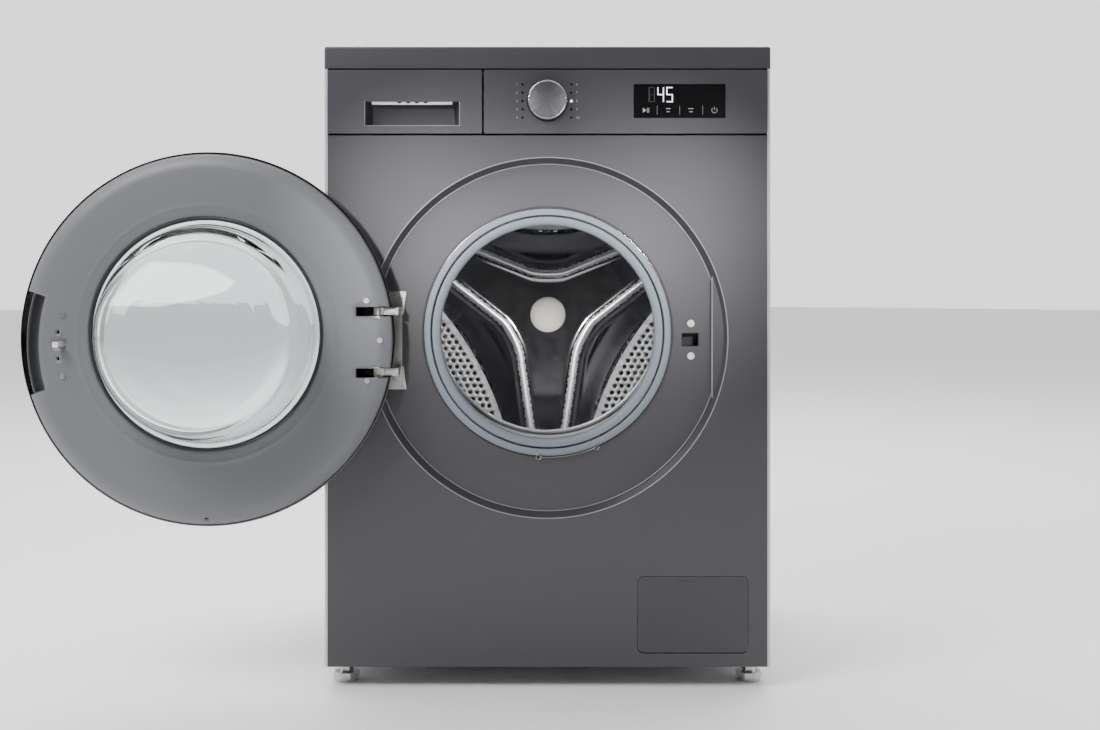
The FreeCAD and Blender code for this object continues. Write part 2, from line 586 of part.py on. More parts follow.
# ---- tub -------------------------------------------------------------------------
def tub_front_shell():
    r1 = TUB_R + TUB_WALL
    solid = lathe([(0, 68), (NECK_R, 68), (NECK_R, 86), (r1, 86), (r1, TUB_SPLIT - 6),
                   (r1 + 6, TUB_SPLIT - 6), (r1 + 6, TUB_SPLIT), (0, TUB_SPLIT)])
    ribs = around(box(-1.5, 1.5, d(80), d(86), AXIS_Z + NECK_R + 7, AXIS_Z + TUB_R - 1), 12,
                  start=15)
    fill = rod(FILL_R, (FILL_X, d(FILL_D), AXIS_Z), (FILL_X, d(FILL_D), AXIS_Z + 204))
    y = PUMP_Y + 82
    sump = rod(15, (PUMP_X, y, AXIS_Z - 236), (PUMP_X, y, AXIS_Z))
    ears = around(rod(7, (0, d(TUB_SPLIT - 6), AXIS_Z + EAR_R), (0, d(TUB_SPLIT), AXIS_Z + EAR_R)),
                  EAR_N, start=EAR_TURN)
    body = fuse(solid, fill, sump, *(ribs + ears))
    hollow = lathe([(0, 60), (NECK_R - 3, 60), (NECK_R - 3, 90), (TUB_R, 90),
                    (TUB_R, TUB_SPLIT + 1), (0, TUB_SPLIT + 1)])
    tools = [hollow, rod(FILL_R - 2, (FILL_X, d(FILL_D), AXIS_Z), (FILL_X, d(FILL_D), AXIS_Z + 220)),
             rod(12.5, (PUMP_X, y, AXIS_Z - 240), (PUMP_X, y, AXIS_Z))]
    tools += around(rod(2.4, (0, d(TUB_SPLIT - 20), AXIS_Z + EAR_R),
                        (0, d(TUB_SPLIT + 10), AXIS_Z + EAR_R)), EAR_N, start=EAR_TURN)
    return cut(body, *tools)


def tub_rear_shell():
    r1 = TUB_R + TUB_WALL
    s = TUB_SPLIT + 0.4
    e = TUB_REAR
    solid = lathe([(0, s), (r1 + 6, s), (r1 + 6, s + 6), (r1, s + 6), (r1, e + 6), (46, e + 6),
                   (46, e + 48), (0, e + 48)])
    ribs = around(box(-1.5, 1.5, d(e + 6), d(e + 16), AXIS_Z + 44, AXIS_Z + TUB_R - 1), 18)
    ears = around(rod(7, (0, d(s), AXIS_Z + EAR_R), (0, d(s + 6), AXIS_Z + EAR_R)), EAR_N,
                  start=EAR_TURN)
    lugs = []
    for q in (-1, 1):
        xa, xb = sorted((q * (SPRING_X - 34), q * (SPRING_X + 6)))
        lugs.append(box(xa, xb, d(SPRING_D) - 7, d(SPRING_D) + 7, SPRING_BOTTOM - 5,
                        SPRING_BOTTOM))
        x = q * DAMPER_X
        lugs.append(box(x - 12, x + 12, d(DAMPER_D) - 12, d(DAMPER_D) + 12,
                        AXIS_Z - 196, AXIS_Z - 160))
    body = fuse(solid, *(ribs + ears + lugs))
    hollow = lathe([(0, s - 1), (TUB_R, s - 1), (TUB_R, e), (0, e)])
    tools = [hollow, rod(BEARING_R, (0, d(e - 5), AXIS_Z), (0, d(e + 60), AXIS_Z))]
    for q in (-1, 1):
        x, y = q * SPRING_X, d(SPRING_D)
        tools.append(rod(1.8, (x, y, AXIS_Z), (x, y, AXIS_Z + 99)))
        a = math.radians(-90 + HEATER_TURN * q)
        x, z = HEATER_R * math.cos(a), AXIS_Z + HEATER_R * math.sin(a)
        tools.append(rod(4.2, (x, d(e - 5), z), (x, d(e + 20), z)))
    tools += around(rod(2.4, (0, d(s - 10), AXIS_Z + EAR_R), (0, d(s + 30), AXIS_Z + EAR_R)),
                    EAR_N, start=EAR_TURN)
    return cut(body, *tools)


def tub_screws():
    r = EAR_R
    one = fuse(rod(4.2, (0, d(TUB_SPLIT - 9), AXIS_Z + r), (0, d(TUB_SPLIT - 6), AXIS_Z + r)),
               rod(2.2, (0, d(TUB_SPLIT - 6), AXIS_Z + r), (0, d(TUB_SPLIT + 9), AXIS_Z + r)))
    return Part.makeCompound(around(one, EAR_N, start=EAR_TURN))


def front_counterweight():
    r = TUB_R - 4
    ring = lathe([(178, 58), (r - 4, 58), (r, 62), (r, 79.6), (178, 79.6)])
    slot = box(-300, 300, d(50), d(90), AXIS_Z - 45, AXIS_Z + 45)
    return cut(ring, slot)


def heater_element():
    legs = []
    ends = []
    for q in (-1, 1):
        a = math.radians(-90 + HEATER_TURN * q)
        x, z = HEATER_R * math.cos(a), AXIS_Z + HEATER_R * math.sin(a)
        legs.append(rod(4, (x, d(HEATER_D), z), (x, d(TUB_REAR + 18), z)))
        legs.append(Part.makeSphere(4, V(x, d(HEATER_D), z)))
        ends.append((x, d(HEATER_D), z))
    legs.append(rod(4, ends[0], ends[1]))
    return fuse(*legs)


def damper_rods():
    out = []
    for q in (-1, 1):
        x, y = q * DAMPER_X, d(DAMPER_D)
        out.append(fuse(rod(5, (x, y, AXIS_Z - 300), (x, y, AXIS_Z - 196.2)),
                        rod(10.95, (x, y, AXIS_Z - 312), (x, y, AXIS_Z - 300))))
    return Part.makeCompound(out)


def damper_cylinders():
    out = []
    for q in (-1, 1):
        x, y = q * DAMPER_X, d(DAMPER_D)
        z0 = FLOOR_GAP + 16.2
        body = fuse(rod(14, (x, y, z0 + 10), (x, y, AXIS_Z - 255)),
                    box(x - 8, x + 8, y - 10, y + 10, z0, z0 + 12))
        out.append(cut(body, rod(11, (x, y, z0 + 16), (x, y, AXIS_Z - 250))))
    return Part.makeCompound(out)


def suspension_springs():
    z_top, z_bot = SPRING_TOP, SPRING_BOTTOM
    turns, wire, r = 22, 1.6, 8.0
    h0, h1 = z_bot + 14, z_top - 14
    out = []
    for q in (-1, 1):
        x, y = q * SPRING_X, d(SPRING_D)
        helix = Part.makeHelix((h1 - h0) / turns, h1 - h0, r)
        prof = Part.Wire(Part.makeCircle(wire, V(r, 0, 0), V(0, 1, 0)))
        coil = Part.Wire(helix).makePipeShell([prof], True, True)
        coil.translate(V(x, y, h0))
        ends = []
        for za, zb in ((h0, z_bot - 5), (h1, z_top + 10)):
            ends.append(rod(1.5, (x + r, y, za), (x, y, za)))
            ends.append(Part.makeSphere(1.5, V(x, y, za)))
            ends.append(rod(1.5, (x, y, za), (x, y, zb)))
        out.append(fuse(coil, *ends))
    return Part.makeCompound(out)


def drum_bearings():
    e = TUB_REAR
    out = []
    for a in (4, 30):
        race = [tube(BEARING_R - 0.05, BEARING_R - 4, (0, d(e + a), AXIS_Z), (0, d(e + a + 14), AXIS_Z)),
                tube(BEARING_R - 4, SHAFT_R + 4, (0, d(e + a + 1), AXIS_Z), (0, d(e + a + 13), AXIS_Z)),
                tube(SHAFT_R + 4, SHAFT_R + RUN, (0, d(e + a), AXIS_Z), (0, d(e + a + 14), AXIS_Z))]
        out.append(fuse(*race))
    return Part.makeCompound(out)


def motor_stator():
    e = TUB_REAR
    core = lathe([(62, e + 18), (92, e + 18), (92, e + 46), (62, e + 46)])
    tooth = fuse(box(-3.5, 3.5, d(e + 20), d(e + 44), AXIS_Z + 90, AXIS_Z + 118),
                 box(-7, 7, d(e + 18), d(e + 46), AXIS_Z + 117, AXIS_Z + 121))
    mount = [box(-6, 6, d(e + 17), d(e + 24), AXIS_Z + 47, AXIS_Z + 66)]
    return fuse(core, *(around(tooth, 24) + around(mount[0], 6)))


# ---- drum ------------------------------------------------------------------------
def drum_shell():
    r = DRUM_R
    b = DRUM_BACK
    m = DRUM_MOUTH_R
    return lathe([(r + 1, b), (r + 1, 106), (r - 4, 101.5), (m + 11, 97), (m + 3, 93), (m, 93),
                  (m, 94.5), (m + 2.5, 94.5), (m + 10.5, 98.2), (r - 5, 102.6), (r, 107), (r, b)])


def star(grow):
    """Raised three-arm star of the drum's back; grow widens it."""
    b = DRUM_BACK
    top = b - STAR_HIGH - grow
    half = STAR_ARM + grow
    pts = [V(0, d(top), 0), V(STAR_KNEE + grow, d(top + 5), 0), V(STAR_END + grow, d(b), 0),
           V(STAR_END + grow, d(b + 2), 0), V(0, d(b + 2), 0)]
    arm = Part.Face(Part.makePolygon(pts + [pts[0]])).extrude(V(0, 0, 2 * half))
    arm.translate(V(0, 0, AXIS_Z - half))
    arms = around(arm, 3, start=90)
    return fuse(rod(STAR_HUB_R + grow, (0, d(top), AXIS_Z), (0, d(b + 2), AXIS_Z)), *arms)


def drum_back():
    b = DRUM_BACK
    plate = rod(DRUM_R + 1, (0, d(b + 0.05), AXIS_Z), (0, d(b + 1.25), AXIS_Z))
    body = fuse(plate, star(0).common(rod(DRUM_R, (0, d(b - 60), AXIS_Z), (0, d(b + 1.25), AXIS_Z))))
    return cut(body, star(-1.4))


def hub_cap():
    b, r = DRUM_BACK - STAR_HIGH, HUB_CAP_R
    return lathe([(0, b - 5), (r - 8, b - 4.2), (r - 1, b - 1.5), (r, b - 0.1), (0, b - 0.1)])


def drum_lifters():
    b = DRUM_BACK
    r = AXIS_Z + DRUM_R
    one = prism_y([(-30, r - 2.5), (-13, r - 44), (0, r - 50), (13, r - 44), (30, r - 2.5)],
                  d(LIFTER_D), d(b - 12))
    inner = prism_y([(-27, r), (-11, r - 42), (0, r - 47), (11, r - 42), (27, r)],
                    d(LIFTER_D + 3), d(b - 15))
    hollow = one.cut(inner)
    return Part.makeCompound(around(hollow, 3, start=60))


def drum_spider():
    b = DRUM_BACK + 3
    hub = lathe([(0, b), (44, b), (40, b + 10), (26, b + 18), (SHAFT_R + 6, b + 20), (0, b + 20)])
    r = AXIS_Z + DRUM_R
    arm = prism_y([(-20, AXIS_Z + 20), (-11, r - 14), (11, r - 14), (20, AXIS_Z + 20)],
                  d(b), d(b + 5))
    rib = box(-4, 4, d(b + 5), d(b + 13), AXIS_Z + 25, r - 40)
    pad = box(-26, 26, d(b - 1.4), d(b + 5), r - 32, r - 8)
    return cut(fuse(hub, *(around(arm, 3, start=180) + around(rib, 3, start=180)
                           + around(pad, 3, start=180))),
               rod(SHAFT_R, (0, d(b - 1), AXIS_Z), (0, d(b + 40), AXIS_Z)))


def drive_shaft():
    b = DRUM_BACK + 3
    return rod(SHAFT_R, (0, d(b), AXIS_Z), (0, d(TUB_REAR + 78), AXIS_Z))


def motor_rotor():
    e = TUB_REAR
    cup = lathe([(SHAFT_R + RUN, e + 62), (30, e + 62), (60, e + 58), (124, e + 52), (126, e + 50),
                 (126, e + 18.5), (132, e + 18.5), (132, e + 55), (126, e + 58), (60, e + 62),
                 (30, e + 72), (SHAFT_R + RUN, e + 72)])
    slot = soft_box(-9, 9, d(e + 40), d(e + 80), AXIS_Z + 65, AXIS_Z + 110, 8)
    return cut(cup, *around(slot, 9))


def rotor_bolt():
    e = TUB_REAR + 78.1
    pts = [(x, AXIS_Z + z) for x, z in polygon(6, 14)]
    return fuse(prism_y(pts, d(e + 2), d(e + 10)), rod(17, (0, d(e), AXIS_Z), (0, d(e + 2), AXIS_Z)))


# ---- door, drawn closed ---------------------------------------------------------
def arm_slots():
    return [box(-DOOR_R - 5, HINGE_X + ARM_REACH + 1.2, FRONT - 30, FRONT + 20,
                z - ARM_H / 2 - 1.2, z + ARM_H / 2 + 1.2) for z in ARM_Z]


def door_outer_cover():
    r = DOOR_R
    ring = lathe([(167, -38.6), (170, -40), (r - 24.5, -40), (r - 10.5, -36), (r - 3, -28),
                  (r, -17), (r, -4), (r - 2.7, -4), (r - 2.7, -16.5), (r - 5.5, -26.5),
                  (r - 12, -33.6), (r - 25, -37.2), (167, -37.2)], RING_Z)
    return cut(ring, *arm_slots())


def door_window():
    return lathe([(0, -42), (90, -41.4), (150, -39.8), (166.4, -38.8), (166.4, -36.9),
                  (176, -36.9), (176, -34.6), (150, -37.0), (90, -38.6), (0, -39.4)], RING_Z)


def inner_frame():
    r = DOOR_R - 3.2
    disc = lathe([(130, 7), (r - 12.3, 7), (r - 8.3, 5), (r - 3.3, -3.2), (r, -4.6), (r, -7.4),
                  (r - 5.3, -5.4), (r - 10.1, 3.0), (r - 13.3, 4.4), (130, 4.4)], RING_Z)
    posts = around(rod(5, (0, FRONT - 36.8, RING_Z + 215), (0, FRONT + 4.6, RING_Z + 215)),
                   6, RING_Z, 0)
    body = fuse(disc, *posts)
    tools = [rod(GLASS_HOLE_R, (0, FRONT - 40, RING_Z + GLASS_UP), (0, FRONT + 20, RING_Z + GLASS_UP)),
             box(216.5, 250, FRONT - 20, FRONT + 20, RING_Z - 68, RING_Z + 58),
             box(HOOK_X - 8, HOOK_X + 9, FRONT, FRONT + 20, HOOK_Z - 5.5, HOOK_Z + 5.5)]
    for x, z in screw_places():
        tools.append(rod(2.2, (x, FRONT - 3, z), (x, FRONT + 20, z)))
    return cut(body, *(tools + arm_slots()))


def screw_places():
    return [(-210.3, RING_Z + 51), (-211.5, RING_Z - 54), (-228.0, RING_Z - 1),
            (HOOK_X - 3, RING_Z + 32), (HOOK_X - 3, RING_Z - 48)]


def door_screws():
    out = []
    for x, z in screw_places():
        out.append(fuse(rod(3.6, (x, FRONT + 7.05, z), (x, FRONT + 8.6, z)),
                        rod(2.0, (x, FRONT + 0.5, z), (x, FRONT + 7.05, z))))
    return Part.makeCompound(out)


def door_glass():
    outer = [(160, 4), (147, 4), (145.2, 6), (142, 18), (138, 34), (132, 60), (124, 81),
             (114, 90), (98, 95), (60, 97.5), (0, 98)]
    inner = [(0, 92), (58, 91.5), (95, 89), (109, 85), (118, 77), (126, 58), (132, 32),
             (136, 16), (139, 4), (142, -0.5), (160, -0.5)]
    return lathe(outer + inner, RING_Z + GLASS_UP)


def door_glass_seal():
    return lathe([(147.8, 4.3), (152.4, 4.3), (152.4, 7.5), (149.5, 7.5)], RING_Z + GLASS_UP)


def glass_retainer():
    return lathe([(143.5, -0.8), (166, -0.8), (166, 4.1), (169, 4.1), (169, -3.6),
                  (143.5, -3.6)], RING_Z + GLASS_UP)


def door_hinge_leaf():
    z0, z1 = ARM_Z
    barrel = rod(PIN_R + 4, (HINGE_X, HINGE_Y, z0 + 6), (HINGE_X, HINGE_Y, z1 - 6))
    web = box(HINGE_X - 3, HINGE_X + 3, HINGE_Y, FRONT + 2, z0 + 6, z1 - 6)
    plate = box(-232, -184, FRONT + 1.8, FRONT + 4.1, z0 - 22, z1 + 22)
    plate = plate.common(rod(DOOR_R - 17, (0, FRONT - 40, RING_Z), (0, FRONT + 20, RING_Z)))
    bore = rod(PIN_R + RUN, (HINGE_X, HINGE_Y, z0 - 30), (HINGE_X, HINGE_Y, z1 + 30))
    tools = [bore] + arm_slots()
    for x, z in screw_places()[:3]:
        tools.append(rod(2.1, (x, FRONT - 3, z), (x, FRONT + 20, z)))
    return cut(fuse(barrel, web, plate), *tools)


def latch_hook():
    x0, x1 = HOOK_X - 2.5, HOOK_X + 2.5
    z0, z1 = HOOK_Z - 3.5, HOOK_Z + 3.5
    y = HOOK_PIVOT_Y
    arm = box(x0, x1, y, FRONT + 25, z0, z1)
    nose = prism_z([(x1, FRONT + 16), (x1 + 4.5, FRONT + 19), (x1, FRONT + 25)], z0, z1)
    pivot = rod(HOOK_PIN_R + 2.5, (HOOK_X, y, z0), (HOOK_X, y, z1))
    body = fuse(arm, nose, pivot)
    return cut(body, rod(HOOK_PIN_R + RUN, (HOOK_X, y, z0 - 1), (HOOK_X, y, z1 + 1)))


def latch_bracket():
    y0 = HOOK_PIVOT_Y - 6
    z0, z1 = HOOK_Z - 3.8, HOOK_Z + 3.8
    pin = rod(HOOK_PIN_R, (HOOK_X, HOOK_PIVOT_Y, z0 - 3), (HOOK_X, HOOK_PIVOT_Y, z1 + 3))
    cheek = [box(HOOK_X - 7, HOOK_X + 7, y0, FRONT + 4.1, z0 - 3, z0),
             box(HOOK_X - 7, HOOK_X + 7, y0, FRONT + 4.1, z1, z1 + 3)]
    side = box(HOOK_X + 6.6, HOOK_X + 10, y0, FRONT + 4.1, z0 - 3, z1 + 3)
    return fuse(pin, side, *cheek)


# ---- drawer, knob, service door -------------------------------------------------
def drawer_front():
    x0, x1 = -HALF + CORNER_R + 0.3, DRAWER_X1
    y0 = FASCIA_Y
    z0, z1 = FASCIA_Z0 + GAP, FASCIA_Z1
    body = soft_box(x0, x1, y0, y0 + 4, z0, z1, 1.5)
    gx0, gx1 = x0 + GRIP_X0, x1 - GRIP_X1
    gz0, gz1 = z0 + GRIP_Z0, z0 + GRIP_Z1
    pocket = box(gx0 - 2, gx1 + 2, y0 + 3, y0 + 24, gz0 - 2, gz1 + 12)
    body = fuse(body, pocket)
    side = prism_z([(gx0, y0 - 1), (gx1, y0 - 1), (gx1, y0 + 3), (gx1 - 8, y0 + 22),
                    (gx0 + 8, y0 + 22), (gx0, y0 + 3)], gz0, gz1)
    behind = box(gx0 + 8, gx1 - 8, y0 + 6, y0 + 22, gz1 - 1, gz1 + 10)
    return cut(body, side, behind)


def tray_places():
    """Sides, levels, rear and cell walls of the drawer's tray."""
    x0, x1 = -HALF + TRAY_IN, DRAWER_X1 - TRAY_IN
    mid1 = x0 + MAIN_CELL_W
    return x0, x1, FASCIA_Z0 + TRAY_UP, TOP_Z - 16, FRONT + 23 + TRAY_L, mid1, mid1 + SOFT_CELL_W


def drawer_tray():
    x0, x1, z0, z1, y1, mid1, mid2 = tray_places()
    y0 = y1 - TRAY_L
    body = box(x0, x1, y0, y1, z0, z1)
    tabs = [box(x0, x0 + 2, FRONT + 2.1, y0 + 2, z0, z1), box(x1 - 2, x1, FRONT + 2.1, y0 + 2, z0, z1)]
    body = fuse(body, *tabs)
    cavities = [box(x0 + 2, mid1 - 1, y0 + 2, y1 - 2, z0 + 2, z1 + 1),
                box(mid1 + 1, mid2 - 1, y0 + 2, y1 - SOFT_BACK - 2, z0 + 2, z1 + 1),
                box(mid1 + 1, mid2 - 1, y1 - SOFT_BACK, y1 - 2, z0 + 2, z1 + 1),
                box(mid2 + 1, x1 - 2, y0 + 2, y1 - 2, z0 + 2, z1 + 1)]
    return cut(body, *cavities)


def siphon_cap():
    _, _, z0, z1, y1, mid1, mid2 = tray_places()
    x, y = (mid1 + mid2) / 2, y1 - 30
    lid = box(mid1 + 1.2, mid2 - 1.2, y1 - SOFT_BACK + 0.2, y1 - 2.2, z1 - 10, z1 - 6)
    riser = rod(9, (x, y, z0 + 8), (x, y, z1 - 10))
    legs = [box(x + e - 2, x + e + 2, y - 2, y + 2, z0 + 2.05, z0 + 9) for e in (-5, 5)]
    return fuse(lid, riser, *legs)


def selector_knob():
    y0, z = FASCIA_Y, MID_Z
    body = lathe([(0, -20), (KNOB_R - 2.6, -20), (KNOB_R - 1.0, -17), (KNOB_R - 0.4, -0.4),
                  (0, -0.4)], z, y0)
    return fuse(body, rod(KNOB_SHAFT_R, (0, y0 - 0.5, z), (0, y0 + 11, z)))


def knob_trim():
    y0, z = FASCIA_Y, MID_Z
    return lathe([(KNOB_R - 2.4, -20.6), (KNOB_R - 1.4, -20.6), (KNOB_R, -18.0), (KNOB_R + 0.2, -15.5),
                  (KNOB_R - 0.7, -15.5), (KNOB_R - 0.7, -17.1), (KNOB_R - 2.4, -20.1)], z, y0)


def service_door():
    x0, x1 = SERV_X0 + GAP, SERV_X0 + SERV_W - GAP
    y0 = FRONT - 0.3
    plate = soft_box(x0, x1, y0, y0 + 2, SERV_Z0 + GAP, SERV_Z0 + SERV_H - GAP, SERV_R - GAP)
    notch = box(x0 + 55, x1 - 70, y0 - 1, y0 + 0.6, SERV_Z0 + SERV_H - 7, SERV_Z0 + SERV_H - 6)
    zp, yp = SERV_Z0 + SERV_PIVOT_UP, FRONT + SERV_PIVOT_IN
    lugs = [box(x0 + 0.4 + s * (SERV_W - 6.8), x0 + 5.4 + s * (SERV_W - 6.8), y0 + 1.9, yp + 2,
                zp - 2, zp + 2) for s in (0, 1)]
    pins = [rod(SERV_PIN_R, (SERV_X0 - 3.5, yp, zp), (x0 + 2, yp, zp)),
            rod(SERV_PIN_R, (x1 - 2, yp, zp), (SERV_X0 + SERV_W + 3.5, yp, zp))]
    rib = box(x0 + 14, x1 - 14, y0 + 1.9, y0 + 5, SERV_Z0 + 60, SERV_Z0 + 62)
    return cut(fuse(plate, rib, *(lugs + pins)), notch)


def drain_pump():
    x, z, y = PUMP_X, PUMP_Z, PUMP_Y
    r = FILTER_R + PUMP_WALL
    c = y + CHAMBER_D
    shell = fuse(rod(r, (x, y, z), (x, c + 2, z)), rod(r + 5, (x, c, z), (x, c + CHAMBER_L, z)),
                 rod(27, (x, c + CHAMBER_L, z), (x, c + CHAMBER_L + 47, z)),
                 rod(15, (x, y + 82, z), (x, y + 82, z + 58)),
                 rod(9.5, (x, y + 79, z), (x + 72, y + 79, z)),
                 box(x - 25, x + 25, y + 60, y + 100, FLOOR_GAP + 1.6, z - 20))
    return cut(shell, rod(FILTER_R, (x, y - 1, z), (x, c + 2, z)),
               rod(24, (x, y + 60, z), (x, y + 90, z)),
               rod(12, (x, y + 82, z), (x, y + 82, z + 60)),
               rod(7, (x, y + 79, z), (x + 80, y + 79, z)),
               rod(2.55, (x, y + 80, z), (x, y + 120, z)))


def pump_filter():
    x, z, y = PUMP_X, PUMP_Z, PUMP_Y
    cap = rod(FILTER_R + 3.5, (x, y - 6, z), (x, y - 0.4, z))
    grip = soft_box(x - 24, x + 24, y - 20, y - 5, z - 4.5, z + 4.5, 4)
    plug = rod(FILTER_R - RUN, (x, y - 1, z), (x, y + 16, z))
    r = FILTER_R - 6
    basket = cut(rod(r, (x, y + 15, z), (x, y + 56, z)), rod(r - 2.5, (x, y + 18, z), (x, y + 60, z)),
                 box(x - 30, x + 30, y + 24, y + 50, z - 7, z + 7))
    return fuse(cap, grip, plug, basket)


def pump_impeller():
    x, z, y = PUMP_X, PUMP_Z, PUMP_Y
    blade = box(-1, 1, y + 68, y + 84, z, z + 20)
    blade = blade.translated(V(x, 0, 0))
    blades = [blade.rotated(V(x, 0, z), V(0, 1, 0), 90 * i) for i in range(4)]
    return fuse(rod(21, (x, y + 84, z), (x, y + 87, z)), rod(5, (x, y + 66, z), (x, y + 85, z)),
                rod(2.5, (x, y + 86, z), (x, y + 118, z)), *blades)


# ---- feet ------------------------------------------------------------------------
def lock_nuts():
    out = []
    for s in (-1, 1):
        for e in (-1, 1):
            pts = [(s * FOOT_X + x, e * FOOT_Y + y) for x, y in polygon(6, 9.2)]
            nut = prism_z(pts, FLOOR_GAP - 6.1, FLOOR_GAP - 0.1)
            out.append(cut(nut, rod(STUD_R + RUN, (s * FOOT_X, e * FOOT_Y, 0),
                                    (s * FOOT_X, e * FOOT_Y, 40))))
    return Part.makeCompound(out)


def foot(s, e):
    x, y = s * FOOT_X, e * FOOT_Y
    def ring(n, r, z0, z1):
        return prism_z([(x + a, y + b) for a, b in polygon(n, r, 22.5 if n == 8 else 0)], z0, z1)
    return fuse(rod(FOOT_R, (x, y, 0), (x, y, 4)), ring(8, FOOT_R + 2.5, 4, 12),
                ring(6, 9.5, 12, FLOOR_GAP - 6.6), rod(STUD_R, (x, y, 10), (x, y, FLOOR_GAP + 34)))


def pieces():
    """Every node and its shape."""
    out = {
        "left_side_panel": side_panel(), "right_side_panel": mirror_x(side_panel()),
        "front_panel": front_panel(), "control_panel": control_panel(),
        "display_window": display_window(), "indicator_lamps": indicator_lamps(),
        "control_board": control_board(), "top_plate": top_plate(), "top_frame": top_frame(),
        "base_frame": base_frame(), "rear_panel": rear_panel(), "rear_cover": rear_cover(),
        "rear_fittings": group(transit_caps(), cord_gland(), drain_outlet()),
        "cabinet_fasteners": group(cabinet_screws(), lock_nuts()), "inlet_valve": inlet_valve(),
        "inner_hoses": group(inlet_hose(), drain_hose()),
        "main_board_case": main_board_case(), "dispenser_housing": dispenser_housing(),
        "fill_hose": fill_hose(), "sump_hose": sump_hose(), "door_lock": door_lock(),
        "door_lock_screws": door_lock_screws(), "hinge_base": group(hinge_base(), hinge_pin()),
        "gasket": gasket(), "gasket_clamp": gasket_clamp(),
        "damper_cylinders": damper_cylinders(), "suspension_springs": suspension_springs(),
        "drain_pump": drain_pump(),
        "tub_front_shell": tub_front_shell(), "tub_rear_shell": tub_rear_shell(),
        "tub_fasteners": group(tub_screws(), rear_clamp()), "front_counterweight": front_counterweight(),
        "heater_element": heater_element(), "damper_rods": damper_rods(),
        "drum_bearings": drum_bearings(), "motor_stator": motor_stator(),
        "drum_shell": drum_shell(), "drum_back": drum_back(), "hub_cap": hub_cap(),
        "drum_lifters": drum_lifters(), "motor_rotor": motor_rotor(),
        "drum_spider": group(drum_spider(), drive_shaft(), rotor_bolt()),
        "drawer_front": drawer_front(), "drawer_tray": group(drawer_tray(), siphon_cap()),
        "selector_knob": selector_knob(), "knob_trim": knob_trim(),
        "service_door": service_door(), "pump_filter": pump_filter(),
        "pump_impeller": pump_impeller(),
        "foot_front_left": foot(-1, -1), "foot_front_right": foot(1, -1),
        "foot_rear_left": foot(-1, 1), "foot_rear_right": foot(1, 1),
    }
    door = {
        "door_outer_cover": door_outer_cover(), "door_window": door_window(),
        "door_inner_frame": group(inner_frame(), glass_retainer()), "door_glass": door_glass(),
        "door_glass_seal": door_glass_seal(),
        "door_fittings": group(door_hinge_leaf(), latch_bracket(), door_screws()),
        "latch_hook": latch_hook(),
    }
    out.update({name: opened(shape) for name, shape in door.items()})
    return out


def main():
    os.makedirs("parts", exist_ok=True)
    for name, shape in pieces().items():
        shape.exportStep("parts/%s.step" % name)
        print(name, len(shape.Solids), shape.isValid(), round(shape.Volume / 1000.0, 1))


main()
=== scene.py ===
"""Front load washing machine: the visible surfaces, finishes, light and camera.

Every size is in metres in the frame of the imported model. MM turns the millimetres
used for the object's own sizes into metres. ROW_SHARE is the height of an even
triangle over its side, which spaces staggered rows.
"""
from __future__ import annotations

import json
import logging
import math
from dataclasses import dataclass, field
from enum import Enum
from typing import Callable, Iterable, Sequence

import bmesh
import bpy
from mathutils import Matrix, Vector
from mathutils.geometry import delaunay_2d_cdt

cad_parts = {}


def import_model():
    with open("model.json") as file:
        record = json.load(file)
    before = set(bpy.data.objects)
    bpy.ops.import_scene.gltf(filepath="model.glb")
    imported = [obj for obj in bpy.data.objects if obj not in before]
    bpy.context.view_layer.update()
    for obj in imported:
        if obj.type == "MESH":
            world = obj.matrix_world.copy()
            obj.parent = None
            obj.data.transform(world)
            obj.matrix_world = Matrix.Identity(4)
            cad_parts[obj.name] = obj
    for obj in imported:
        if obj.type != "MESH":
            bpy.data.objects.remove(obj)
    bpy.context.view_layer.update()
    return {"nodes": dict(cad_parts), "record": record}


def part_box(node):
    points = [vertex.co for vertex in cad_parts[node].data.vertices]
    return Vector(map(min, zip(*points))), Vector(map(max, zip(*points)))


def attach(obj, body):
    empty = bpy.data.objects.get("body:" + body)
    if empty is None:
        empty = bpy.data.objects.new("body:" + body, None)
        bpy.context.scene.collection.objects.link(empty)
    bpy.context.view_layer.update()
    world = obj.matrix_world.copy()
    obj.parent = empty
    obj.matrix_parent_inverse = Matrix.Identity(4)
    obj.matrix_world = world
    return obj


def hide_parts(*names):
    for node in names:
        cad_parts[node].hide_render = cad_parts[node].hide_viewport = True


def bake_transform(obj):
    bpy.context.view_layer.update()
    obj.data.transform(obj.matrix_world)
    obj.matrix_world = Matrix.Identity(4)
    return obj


LOG = logging.getLogger("washing_machine")
MM = 0.001
ROW_SHARE = 0.866
Point = tuple[float, float, float]
Flat = tuple[float, float]


# ---------------------------------------------------------------- colour and nodes
def srgb(hex_colour: str) -> tuple[float, float, float, float]:
    """Turns an sRGB hex colour into linear colour.

    Args:
        hex_colour: six hex digits, with or without a leading hash.

    Returns:
        Linear red, green and blue, and an alpha of 1.
    """
    digits = hex_colour.lstrip("#")
    parts = [int(digits[i:i + 2], 16) / 255 for i in (0, 2, 4)]
    line = [c / 12.92 if c <= 0.04045 else ((c + 0.055) / 1.055) ** 2.4 for c in parts]
    return (line[0], line[1], line[2], 1.0)


def add(tree: bpy.types.NodeTree, kind: str, links: dict | None = None,
        values: dict | None = None, **settings: object) -> bpy.types.Node:
    """Adds a node with its settings, its input values and its links.

    Args:
        tree: the node tree to add to.
        kind: the node's type name.
        links: input name or number to the output socket that feeds it.
        values: input name or number to its own value.
        settings: the node's properties.

    Returns:
        The new node.
    """
    node = tree.nodes.new(kind)
    for key, value in settings.items():
        setattr(node, key, value)
    for key, value in (values or {}).items():
        node.inputs[key].default_value = value
    for key, socket in (links or {}).items():
        tree.links.new(socket, node.inputs[key])
    return node


